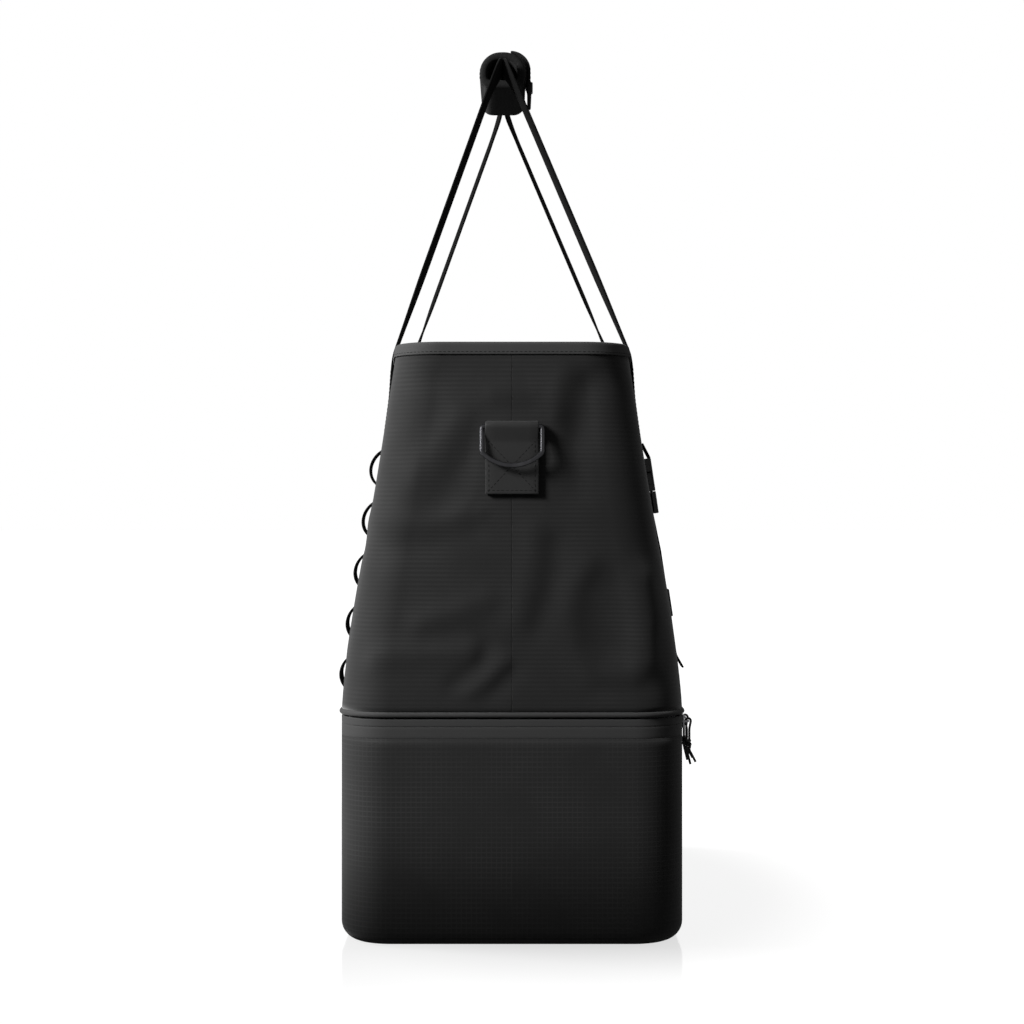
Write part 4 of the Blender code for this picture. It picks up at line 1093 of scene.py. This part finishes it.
def smooth_path(points, step, passes=2):
    """Points read every step along a line, with its corners eased. Columns past the third ride along."""
    points = np.array(points, float)
    length = running_length(np.linalg.norm(np.diff(points[:, :3], axis=0), axis=1))
    spots = np.linspace(0, length[-1], max(int(round(length[-1] / step)), 2) + 1)
    path = np.column_stack([np.interp(spots, length, column) for column in points.T])
    for _ in range(passes):
        path[1:-1] = (path[:-2] + 2 * path[1:-1] + path[2:]) / 4
    return path


def tape_section(width, thick):
    """Cross-section of woven tape as (across, out): flat faces, a thin selvedge and round edges."""
    half, edge = width / 2, thick / 2
    turn = np.linspace(-math.pi / 2, math.pi / 2, 5)
    right = [(half - edge + edge * math.cos(a), edge * math.sin(a)) for a in turn]
    face = [(x, edge * SELVEDGE) for x in (half * 0.6, 0.0, -half * 0.6)]
    half_round = right + face
    return np.array(half_round + [(-x, -y) for x, y in half_round])


print("a tape's section has", len(tape_section(0.025, 0.002)), "points")

# %% Sweeps
def sweep_rows(path, across, section, widen=None):
    """Rows of a cross-section carried along a path. Across points along the section's first axis."""
    along = unit(np.gradient(path, axis=0))
    across = unit(across - (across * along).sum(1, keepdims=True) * along)
    out = np.cross(along, across)
    wide = np.ones(len(path)) if widen is None else widen
    first = section[None, :, :1] * across[:, None] * wide[:, None, None]
    return path[:, None] + first + section[None, :, 1:] * out[:, None]


def swept(name, path, across, section, finish, widen=None, closed=False):
    """A solid swept along a path: joined end to end when closed, otherwise with flat ends.

    Across is one way for the whole path, or one for each of its points.
    """
    rows = sweep_rows(path, np.broadcast_to(across, (len(path), 3)), section, widen)
    if closed:
        rows = np.concatenate([rows, rows[:1]])
    mesh = grid_mesh(name, rows, True)
    if closed:
        rework(mesh, join_rows)
    else:
        cap(mesh, len(section), both=True)
    return new_object(name, mesh, finish)


print("sweeps are capped, or joined end to end")

# %% [markdown]
# ## Handles
# Two webbing handles are sewn up the panels and lean in to one padded grip, where they fold narrow side by
# side. Each leg twists a little on its way, as stiff webbing does when it is pulled together. A simulation
# would have to be stopped at the right moment, so three stretches are laid out one by one instead: sewn to
# the panel, free, and bent into the grip.

# %% The line of a handle
WEB_THICK = 0.0018
HANDLE_WIDTH = 0.025
FRONT_SEWN = 0.068
BACK_SEWN = 0.061
HANDLE_RAMP = 0.025
HANDLE_BEND = 0.035
GRIP_HEIGHT = RIM_HEIGHT + 0.2285
GRIP_BACK = 0.0075
GRIP_FOLD = 0.0117
HANDLE_LIFT = 0.0012
LEG_TWISTS = (0.065, 0.17)
TWIST_OVER = 0.35


def handle_leg(side, sewn, twist):
    """Rows of place, width direction and width, from a handle's sewn end up to the middle of the grip."""
    web = FIT + WEB_THICK / 2
    over_rim = BIND_THICK + 2 * FIT
    rim_y = side * (front_y(HANDLE_X, RIM_HEIGHT) + web + over_rim)
    rim = np.array([HANDLE_X, rim_y, RIM_HEIGHT])
    top = np.array([HANDLE_X, GRIP_BACK + side * web, GRIP_HEIGHT + HANDLE_LIFT])
    lean = unit(top - rim)
    bend_from = top - lean * HANDLE_BEND
    flat, up = np.array([1.0, 0, 0]), np.array([0, 0, 1.0])
    rows = []
    for z in np.linspace(RIM_HEIGHT - sewn, RIM_HEIGHT, 18):
        ramp = np.clip((z - (RIM_HEIGHT - BIND_WIDTH - HANDLE_RAMP)) / HANDLE_RAMP, 0, 1)
        y = front_y(HANDLE_X, z) + web + over_rim * ramp
        rows.append([HANDLE_X, side * y, z, 1.0, side * front_slope(HANDLE_X, z), 0.0, HANDLE_WIDTH])
    for share in np.linspace(0, 1, 20)[1:]:
        turned = ease(share, 0.0, TWIST_OVER)
        slope = front_slope(HANDLE_X, RIM_HEIGHT) * (1 - turned) + twist * turned
        rows.append([*(rim + (bend_from - rim) * share), 1.0, side * slope, 0.0, HANDLE_WIDTH])
    for share in np.linspace(0, 1, 14)[1:]:
        turn = math.pi / 2 * share
        place = bend_from + HANDLE_BEND * (lean * math.sin(turn) - flat * (1 - math.cos(turn)))
        way = flat * math.cos(turn) + (lean + (up - lean) * share) * math.sin(turn)
        way[1] += side * twist * (1 - share)
        rows.append([*place, *way, HANDLE_WIDTH + (GRIP_FOLD - HANDLE_WIDTH) * share**2])
    return np.array(rows)


def handle_line(side, sewn):
    """Both legs of a handle in one line. The leg near the camera is twisted less than the far one."""
    near, far = (handle_leg(side, sewn, twist) for twist in LEG_TWISTS)
    return np.vstack([far, near[::-1] * [-1, 1, 1, 1, -1, -1, 1]])


print("a handle's line has", len(handle_line(-1, FRONT_SEWN)), "points")

# %% Handles
HANDLE_STEP = 0.003
STITCH_INSET = 0.0025
UNDER_RIM = 0.002


def beside(line, offset, lift):
    """Points beside a webbing's middle line, moved across it and out from its face."""
    along = unit(np.gradient(line[:, :3], axis=0))
    across = unit(line[:, 3:6])
    return line[:, :3] + across * offset + unit(np.cross(along, across)) * lift


def handle(name, node, side, sewn):
    line = smooth_path(handle_line(side, sewn), HANDLE_STEP)
    widen = line[:, 6] / HANDLE_WIDTH
    section = tape_section(HANDLE_WIDTH, WEB_THICK)
    piece = swept(name, line[:, :3], line[:, 3:6], section, webbing, widen)
    dress(piece, "upper_tote", "webbing", node)
    on_panel = line[line[:, 2] < RIM_HEIGHT - BIND_WIDTH - UNDER_RIM]
    edge = HANDLE_WIDTH / 2 - STITCH_INSET
    face = side * (WEB_THICK / 2)
    for leg in (on_panel[on_panel[:, 0] > 0], on_panel[on_panel[:, 0] < 0][::-1]):
        sides = [beside(leg, offset, face) for offset in (-edge, edge)]
        ends = [np.linspace(sides[0][i], sides[1][i], 8) for i in (1, -1)]
        sew("upper_tote", *(s[1:] for s in sides), *ends)


handle("front_handle_webbing", "front_handle", -1, FRONT_SEWN)
handle("back_handle_webbing", "back_handle", 1, BACK_SEWN)
print("2 handles up to", round(GRIP_HEIGHT / MM, 1), "mm")

# %% [markdown]
# ## Padded grip
# The grip is a sleeve of foam in brushed cloth, wrapped round both handles and sewn through near its ends. A
# bevelled tube would look hard. So the wall is swept thin, held at its two rows of stitches and blown up as
# cloth, with pressure for the foam and no gravity. The move is capped, and only its result is kept. A flap of
# the same cloth folds over the front and snaps shut.

# %% Swelling by cloth simulation
SWELL_FRAMES = 20
NO_MOVE = 1e-9


def mesh_points(mesh):
    points = np.empty(3 * len(mesh.vertices))
    mesh.vertices.foreach_get("co", points)
    return points.reshape(-1, 3)


def swell(piece, held, pressure, most):
    """Blow a padded piece up as cloth, held at some points, and let no point move further than a limit."""
    rest = mesh_points(piece.data)
    sewn = piece.vertex_groups.new(name="sewn")
    sewn.add(np.flatnonzero(held(rest)).tolist(), 1.0, "REPLACE")
    made = piece.modifiers.new("swelling", "CLOTH").settings
    made.vertex_group_mass = "sewn"
    made.use_pressure = True
    made.uniform_pressure_force = pressure
    made.effector_weights.gravity = 0.0
    for frame_number in range(1, SWELL_FRAMES + 1):
        scene.frame_set(frame_number)
    swollen = piece.evaluated_get(bpy.context.evaluated_depsgraph_get())
    move = mesh_points(swollen.data) - rest
    piece.modifiers.clear()
    scene.frame_set(1)
    length = np.linalg.norm(move, axis=1, keepdims=True)
    rest += move * np.minimum(1.0, most / np.maximum(length, NO_MOVE))
    piece.data.vertices.foreach_set("co", rest.ravel())
    piece.data.update()
    return length.max()


print("swelling runs for", SWELL_FRAMES, "frames")

# %% Section of the grip
GRIP_WIDTH = 0.0367
GRIP_WALL = 0.0045
GRIP_HEADROOM = 0.012
GRIP_FOOT = 0.009
ROUND_STEPS = 12


def arc(centre, radius, start, end, steps):
    """Points on an arc, with angles in degrees."""
    angle = np.radians(np.linspace(start, end, steps + 1))
    return [(centre[0] + radius * math.cos(a), centre[1] + radius * math.sin(a)) for a in angle]


def grip_section(grow, round_top):
    """Cross-section of the grip from its top, forward, down and round, as (y, z)."""
    half = GRIP_WIDTH / 2 + grow
    top = GRIP_HEIGHT + GRIP_FOLD / 2 + GRIP_HEADROOM + grow
    low = GRIP_HEIGHT - GRIP_FOLD / 2 - FIT - GRIP_WALL - grow
    crown, foot = round_top + grow, GRIP_FOOT + grow
    points = arc((GRIP_BACK - half + crown, top - crown), crown, 90, 180, ROUND_STEPS)
    points += arc((GRIP_BACK - half + foot, low + foot), foot, 180, 270, ROUND_STEPS)
    points += arc((GRIP_BACK + half - foot, low + foot), foot, 270, 360, ROUND_STEPS)
    points += arc((GRIP_BACK + half - crown, top - crown), crown, 0, 90, ROUND_STEPS)
    return points


def across_grip(section):
    """A (y, z) section as points in the middle plane of the grip."""
    return np.array([(0.0, y, z) for y, z in section])


print("grip of", GRIP_WIDTH / MM, "mm from front to back")

# %% Grip sleeve
GRIP_LENGTH = 0.114
GRIP_SEWN = 0.006
GRIP_PRESSURE = 3.0
GRIP_SWELL = 0.002
SLEEVE_CROWN = 0.0165
SLEEVE_WALL = 0.0060
SLEEVE_STEP = 0.0020
HELD_WIDTH = 0.0012


def grip_held(points):
    """The two rows of stitches near the sleeve's ends."""
    return abs(GRIP_LENGTH / 2 - GRIP_SEWN - abs(points[:, 0])) < HELD_WIDTH


def wall_section():
    """Section through the sleeve's padded wall as (along the grip, out), with round lips."""
    half, edge = GRIP_LENGTH / 2, SLEEVE_WALL / 2
    outer = [(x, edge) for x in np.linspace(half - edge, edge - half, 51)]
    lip = arc((edge - half, 0.0), edge, 90, 270, 8)[1:-1]
    return np.array(outer + lip + [(-x, -y) for x, y in outer + lip])


def grip_wrap():
    section = across_grip(grip_section(-SLEEVE_WALL / 2, SLEEVE_CROWN))
    loop = smooth_path(np.vstack([section, section[:1]]), SLEEVE_STEP, 0)[:-1]
    piece = swept("grip_sleeve", loop, [1.0, 0, 0], wall_section(), pad_cloth, closed=True)
    moved = swell(piece, grip_held, GRIP_PRESSURE, GRIP_SWELL)
    print("grip sleeve swelled by", round(moved / MM, 1), "mm")
    finer = piece.modifiers.new("finer", "SUBSURF")
    finer.levels = finer.render_levels = 1
    outer = across_grip(grip_section(0.0, SLEEVE_CROWN))
    for x in (-GRIP_LENGTH / 2 + GRIP_SEWN, GRIP_LENGTH / 2 - GRIP_SEWN):
        sew("upper_tote", np.vstack([outer, outer[:1]]) + [x, 0, 0])
    return dress(piece, "upper_tote", "panel_cloth", "grip_wrap")


grip_wrap()

# %% Grip flap
GRIP_CROWN = 0.012
FLAP_LENGTH = 0.100
FLAP_THICK = 0.002
FLAP_STAND = 0.002
FLAP_TAIL = 0.002
FLAP_SHORT = 0.005
FLAP_STEP = 0.0016
FLAP_SOFT = 0.0007
FLAP_STITCH = 0.0035


def grip_flap():
    shape = grip_section(FIT, GRIP_CROWN)[:ROUND_STEPS + 1]
    profile = [(y - (FLAP_STAND - FIT) * i / ROUND_STEPS, z) for i, (y, z) in enumerate(shape)]
    side_y = profile[-1][0]
    foot_z = GRIP_HEIGHT - GRIP_FOLD / 2 - GRIP_WALL + FLAP_SHORT
    profile += [(side_y, foot_z), (side_y - FLAP_TAIL, foot_z - FLAP_TAIL)]
    line = smooth_path(across_grip(profile), FLAP_STEP, 1)
    across = np.linspace(-FLAP_LENGTH / 2, FLAP_LENGTH / 2, 41)
    rows = np.array([line + [x, 0, 0] for x in across])
    piece = cloth("flap_cloth", rows, pad_cloth, FLAP_THICK, closed=False, side=1.0)
    soften(piece, FLAP_SOFT)
    face = line + np.cross(unit(np.gradient(line, axis=0)), [1, 0, 0]) * FLAP_THICK
    inside = np.array([FLAP_LENGTH / 2 - FLAP_STITCH, 0, 0])
    sew("grip_flap", face[3:-2] + inside, face[3:-2] - inside)
    sew("grip_flap", np.linspace(face[-3] - inside, face[-3] + inside, 30))
    return dress(piece, "grip_flap", "panel_cloth", "grip_flap")


grip_flap()
print("grip flap of", FLAP_LENGTH / MM, "mm")

# %% [markdown]
# ## D-rings
# A webbing tab is folded over the straight bar of each D-ring and sewn flat with a crossed box. The ring is
# bent from 3.6 mm wire. A torus cut in half would have sharp corners, so the wire is swept round the real
# shape: bar, shoulders, tight bends and a shallow bow. It leans out where it rests.

# %% Ring tabs
RING_WIRE = 0.0036
TAB_WIDTH = 0.038
TAB_STITCH = 0.0145
TAB_STEP = 0.0012


def ring_tab(tag, end):
    """The tab's webbing, its crossed box of stitches, and the middle of the ring's bar."""
    loop = RING_WIRE / 2 + FIT + WEB_THICK / 2
    top = RIM_HEIGHT - TAB_DROP
    bar_z = top - loop - WEB_THICK / 2
    bottom = top - TAB_LENGTH
    back = FIT + WEB_THICK / 2
    front = back + FIT + WEB_THICK
    profile = [(bottom, back), (bar_z - TAB_STITCH / 2, back)]
    profile += [(bar_z + up, back + loop + out) for out, up in arc((0, 0), loop, 180, 0, 16)]
    profile += [(top - TAB_STITCH, front), (bottom, front)]
    path = smooth_path([(end * (plan(z)[0] + out), 0.0, z) for z, out in profile], TAB_STEP, 1)
    piece = swept(tag + "_tab_webbing", path, [0.0, 1.0, 0.0], tape_section(TAB_WIDTH, WEB_THICK), satin)
    dress(piece, "upper_tote", "webbing", tag + "_ring_tab")

    edge = TAB_WIDTH / 2 - STITCH_INSET
    high, low = top - TAB_STITCH, bottom + STITCH_INSET
    a, b, c, d = (-edge, high), (edge, high), (edge, low), (-edge, low)
    for (y0, z0), (y1, z1) in ((a, b), (b, c), (c, d), (d, a), (a, c), (b, d)):
        y, z = np.linspace(y0, y1, 16), np.linspace(z0, z1, 16)
        x = [end * (plan(height)[0] + front + WEB_THICK / 2) for height in z]
        sew("upper_tote", np.column_stack([x, y, z]))
    return np.array([end * (plan(bar_z)[0] + back + loop), 0.0, bar_z])


print("tabs of", TAB_WIDTH / MM, "mm webbing")

# %% Tabs with their rings
RING_DROP = 0.0285
RING_CORNER = 0.0021
RING_BEND = 0.0035
RING_TURN = 45
RING_PLAY = 0.0003
RING_LEAN = math.radians(12)


def round_section(width, sides):
    angle = np.linspace(0, 2 * math.pi, sides, endpoint=False)
    return np.column_stack([np.cos(angle), np.sin(angle)]) * width / 2


def ring(tag, end, pivot):
    """Straight bar and shoulders, tight bends and a shallow bow."""
    half = TAB_WIDTH / 2 + RING_PLAY + RING_CORNER
    turn = math.radians(RING_TURN)
    bend_out = half - RING_BEND
    bow = RING_BEND + bend_out / math.cos(turn)
    bow_centre = bow - RING_DROP
    bend_up = bow_centre - bend_out * math.tan(turn)
    reach = half - RING_CORNER
    shoulder = np.linspace(-RING_CORNER, bend_up, 8)[1:-1]
    points = arc((reach, -RING_CORNER), RING_CORNER, 0, 90, 8)
    points += [(y, 0.0) for y in np.linspace(reach, -reach, 14)[1:-1]]
    points += arc((-reach, -RING_CORNER), RING_CORNER, 90, 180, 8)
    points += [(-half, z) for z in shoulder]
    points += arc((-bend_out, bend_up), RING_BEND, 180, 180 + RING_TURN, 6)
    points += arc((0.0, bow_centre), bow, 180 + RING_TURN, 360 - RING_TURN, 36)[1:-1]
    points += arc((bend_out, bend_up), RING_BEND, 360 - RING_TURN, 360, 6)
    points += [(half, z) for z in shoulder[::-1]]
    lean = end * RING_LEAN
    path = np.array([(-z * math.sin(lean), y, z * math.cos(lean)) for y, z in points]) + pivot
    across = [math.cos(lean), 0.0, math.sin(lean)]
    piece = swept(tag + "_ring_wire", path, across, round_section(RING_WIRE, 14), steel, closed=True)
    return dress(piece, tag + "_ring", "black_metal", tag + "_ring")


for tag, end in (("left", -1), ("right", 1)):
    ring(tag, end, ring_tab(tag, end))
print("2 tabs and 2 rings of", RING_WIRE / MM, "mm wire")

# %% [markdown]
# ## Webbing loops on the back
# A chain of loops for tying things on: thin webbing tacked to the panel at even steps, a little longer than
# the panel between tacks, so each span stands out as a bow. One loop in an Array would need joints. One sweep
# along a line that bows out and back is a single webbing, as it is on the bag.

# %% Daisy chains
DAISY_THICK = 0.0014
DAISY_PITCH = 0.0394
DAISY_SPAN = 0.0270
DAISY_RISE = 0.0078
DAISY_STEP = 0.0012
TACK_INSET = 0.002
TACK_ROWS = (-0.002, 0.0, 0.002)


def daisy_chain(tag, x):
    """One webbing with all its loops, and the tacks between them. Gives the number of loops."""
    top = RIM_HEIGHT - BACK_SEWN - FIT
    bottom = PANEL_BOTTOM + FIT
    tack = DAISY_PITCH - DAISY_SPAN
    flat = FIT + DAISY_THICK / 2
    loops = int((top - bottom) / DAISY_PITCH)
    profile = [(top, 0.0)]
    for loop in range(loops):
        start = top - tack - loop * DAISY_PITCH
        for share in np.linspace(0, 1, 25):
            slide = (share + (1 - math.cos(math.pi * share)) / 2) / 2
            profile.append((start - DAISY_SPAN * slide, DAISY_RISE * math.sin(math.pi * share)))
    profile.append((bottom, 0.0))
    rows = [(x, front_y(x, z) + flat + out, z, 1.0, front_slope(x, z), 0.0) for z, out in profile]
    line = smooth_path(rows, DAISY_STEP)
    section = tape_section(HANDLE_WIDTH, DAISY_THICK)
    piece = swept("daisy_webbing_" + tag, line[:, :3], line[:, 3:], section, webbing)
    dress(piece, "upper_tote", "webbing", "daisy_chain_" + tag)
    half = HANDLE_WIDTH / 2 - TACK_INSET
    across = np.linspace(-half, half, 12)
    for loop in range(loops + 1):
        middle = top - tack / 2 - loop * DAISY_PITCH
        for z in (middle + row for row in TACK_ROWS):
            y = front_y(x, z) + flat + DAISY_THICK / 2 + front_slope(x, z) * across
            sew("upper_tote", np.column_stack([x + across, y, np.full_like(across, z)]))
    return loops


for tag, x in (("left", -HANDLE_X), ("right", HANDLE_X)):
    print(tag, "daisy chain of", daisy_chain(tag, x), "loops")

# %% [markdown]
# ## Compression straps on the front
# Each strap is sewn in at the seam, runs up through its keeper, round the ladder bar of the buckle's plug and
# back down as a tail through the same keeper. A short loop hangs the buckle's socket under the handle. Flat
# strips that only seem to pass through would show from the side, so each is one sweep along the real route,
# laid out in the buckle's and the keeper's own up and out.

# %% Places on the front
STRAP_WIDTH = 0.020
STRAP_THICK = 0.0013
STRAP_STEP = 0.0009


def strap_frame(x, drop, step, lift):
    """A function that puts (up the strap, outward) where a buckle or keeper sits on the front panel."""
    z = RIM_HEIGHT - drop
    lean = math.atan2(front_y(x, z - step) - front_y(x, z + step), 2 * step)
    place = np.array([x, -front_y(x, z) - lift, z])
    up = np.array([0.0, math.sin(lean), math.cos(lean)])
    out = np.array([0.0, -math.cos(lean), math.sin(lean)])
    return lambda along, away: place + up * along + out * away


def strap_piece(name, node, points):
    line = smooth_path(points, STRAP_STEP, 3)
    piece = swept(name, line, [1.0, 0.0, 0.0], tape_section(STRAP_WIDTH, STRAP_THICK), webbing)
    return dress(piece, "upper_tote", "webbing", node)


print("straps of", STRAP_WIDTH / MM, "mm webbing")

# %% Straps
BUCKLE_DROP = 0.1057
BUCKLE_LIFT = 0.0006
SOCKET_THICK = 0.0066
SOCKET_DEPTH = 0.0190
PLUG_LENGTH = 0.0170
BUCKLE_BAR = 0.0032
WEB_SLOT = 0.0032
KEEPER_DROP = 0.1916
KEEPER_HEIGHT = 0.0210
KEEPER_RUN = 0.0300
KEEPER_WALL = 0.0010
TAIL_CURL = 0.0040
TAIL_END = 0.0100


def strap(tag, x):
    """The strap's whole run, from the seam to the end of its tail, and the loop that holds the socket."""
    buckle = strap_frame(x, BUCKLE_DROP, SOCKET_DEPTH, BUCKLE_LIFT)
    keeper = strap_frame(x, KEEPER_DROP, KEEPER_HEIGHT / 2, FIT)
    web = STRAP_THICK / 2 + FIT
    bar_low, bar_high = STRAP_THICK + 2 * FIT, SOCKET_THICK - STRAP_THICK
    upper_high = -FIT - BUCKLE_BAR / 2
    upper_low = upper_high - WEB_SLOT
    lower_high = upper_low - BUCKLE_BAR
    upper_mid, lower_mid = upper_low + WEB_SLOT / 2, lower_high - WEB_SLOT / 2
    rest = FIT + STRAP_THICK / 2 - BUCKLE_LIFT
    over = bar_high + web
    plug_low = -FIT - PLUG_LENGTH
    seam = PANEL_BOTTOM + FIT
    reach = KEEPER_HEIGHT / 2 + KEEPER_RUN
    first = KEEPER_WALL + FIT + STRAP_THICK / 2
    second = first + STRAP_THICK + FIT
    points = [(x, -front_y(x, seam) - web, seam), keeper(-reach, first), keeper(reach, first)]
    bend = [(plug_low, rest), (upper_mid - STRAP_THICK, rest), (upper_mid, rest + STRAP_THICK),
            (upper_mid, over - STRAP_THICK / 2), (upper_low + FIT, over), (lower_high - FIT, over),
            (lower_mid, over - STRAP_THICK / 2), (lower_mid, rest + 2 * (STRAP_THICK + FIT)),
            (lower_mid - STRAP_THICK, rest + STRAP_THICK + FIT), (plug_low, rest + STRAP_THICK + FIT)]
    points += [buckle(along, away) for along, away in bend]
    points += [keeper(reach, second), keeper(-reach, second)]
    points.append(keeper(-reach - TAIL_END, second) + [0, -TAIL_CURL, 0])
    strap_piece("strap_" + tag, "strap_webbing_" + tag, points)

    slot = SOCKET_DEPTH + WEB_SLOT - web
    top = SOCKET_DEPTH + WEB_SLOT + BUCKLE_BAR
    sewn = RIM_HEIGHT - FRONT_SEWN - FIT
    loop = [(top, bar_low - web), (slot + web, bar_low - web), (slot, bar_low), (slot, bar_high),
            (slot + web, bar_high + web), (top, bar_high + web)]
    panel = front_y(x, sewn) + web
    points = [(x, -panel, sewn)] + [buckle(along, away) for along, away in loop]
    points.append((x, -panel - STRAP_THICK - FIT, sewn))
    strap_piece("anchor_loop_" + tag, "buckle_anchor_" + tag, points)


for tag, x in (("left", -HANDLE_X), ("right", HANDLE_X)):
    strap(tag, x)
print("2 straps and 2 anchor loops")

# %% [markdown]
# ## Zip pulls
# Each slider has a pull of braided cord, doubled over the slider's bar and tied in one knot, with its two
# melted ends hanging below. A ball would pass for the knot from afar. A real overhand knot, closed on itself,
# is a trefoil, which a few sines and cosines draw, so a cord swept along a small trefoil reads as tied.

# %% Cord pulls
SLIDER_PLATE = 0.0014
CROWN_BAR = 0.0013
PULL_CORD = 0.0017
PULL_DROP = 0.0170
PULL_KNOT = 0.0088
PULL_TAIL = 0.0150
PULL_LEAN = 0.0036
PULL_SPLAY = 0.0010
PULL_STEP = 0.0006
KNOT_DEPTH = 2.2
KNOT_SQUASH = [1, 0.6, 1]
KNOT_ACROSS = [0.2, 1.0, 0.1]


def zip_pull(tag, x):
    bend = CROWN_BAR / math.sqrt(2) + FIT + PULL_CORD / 2
    bar_y = -BASE_DEPTH / 2 - 2 * FIT - SLIDER_PLATE - bend - PULL_CORD / 2
    place = np.array([x, bar_y, ZIP_HEIGHT])
    neck = PULL_CORD / 2 + FIT / 4
    neck_high, neck_low = -PULL_DROP / 3, -PULL_DROP - PULL_KNOT / 2
    tail_z = -PULL_DROP - PULL_TAIL
    tail_y = neck + PULL_SPLAY
    path = [(tail_y - PULL_LEAN, tail_z), (neck, neck_low), (neck, neck_high)]
    path += arc((0.0, 0.0), bend, 0, 180, 16)
    path += [(-neck, neck_high), (-neck, neck_low), (-tail_y - PULL_LEAN, tail_z + PULL_CORD)]
    line = smooth_path([(0.0, y, z) for y, z in path], PULL_STEP, 3) + place
    piece = swept("cord_pull_" + tag, line, [1.0, 0.0, 0.0], round_section(PULL_CORD, 12), braid)
    dress(piece, tag + "_pull", "cord", "zip_pull_" + tag)

    turn = np.linspace(0, 2 * math.pi, 96, endpoint=False)
    wide = (PULL_KNOT - PULL_CORD) / 6
    knot = np.column_stack([np.sin(turn) + 2 * np.sin(2 * turn), KNOT_DEPTH * np.sin(3 * turn),
                            np.cos(turn) - 2 * np.cos(2 * turn)]) * wide * KNOT_SQUASH
    knot = knot + place - [0, 0, PULL_DROP]
    lump = swept("cord_knot_" + tag, knot, KNOT_ACROSS, round_section(PULL_CORD, 10), braid, closed=True)
    dress(lump, tag + "_pull", "cord")


for tag in ("left", "right"):
    slider_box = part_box("zip_slider_" + tag)
    zip_pull(tag, (slider_box[0].x + slider_box[1].x) / 2)
print("2 cord pulls of", PULL_CORD / MM, "mm cord")

# %% [markdown]
# ## Hard pieces
# The buckles, keepers, sliders, snap and board are moulded, cast or cut. They could be modelled again, but
# their solids already have the right shape. So each keeps its solid and gets its finish, and a weld and a
# small bevel give its edges the soft line of a moulding.

# %% Finishes on the solids
WELD_REACH = 1e-5
MOULD_EDGE = 0.0003
MOULD_ANGLE = 30
HARD = {
    "base_board": board,
    "snap_cap": steel,
    "snap_stud": steel,
}
for tag in ("left", "right"):
    HARD["zip_slider_" + tag] = zinc
    for kind in ("buckle_socket", "buckle_plug", "prong_outer", "prong_inner", "strap_keeper"):
        HARD[kind + "_" + tag] = acetal

for name, finish in HARD.items():
    for holder in nodes[name].material_slots:
        holder.material = finish
    joined = nodes[name].modifiers.new("joined", "WELD")
    joined.merge_threshold = WELD_REACH
    soften(nodes[name], MOULD_EDGE, MOULD_ANGLE)
print(len(HARD), "solids keep their shape")

# %% [markdown]
# ## Sewing up
# Every sewn piece has noted its lines of stitching. A stitch is about 2.5 mm of thread that shows, and then a
# gap where it dives. A dashed line in a material would lie flat, so the bead tree lays real ones, all the
# lines of a body in one go.

# %% Sew and finish
STITCH_PITCH = 0.0032
STITCH_LENGTH = 0.0025
STITCH_WIDTH = 0.0005

for body, lines in sewn_lines.items():
    beads("stitches_" + body, lines, body, "webbing", Spacing=STITCH_PITCH, Length=STITCH_LENGTH,
          Width=STITCH_WIDTH, Finish=thread_finish)
print(sum(len(lines) for lines in sewn_lines.values()), "rows of stitches")
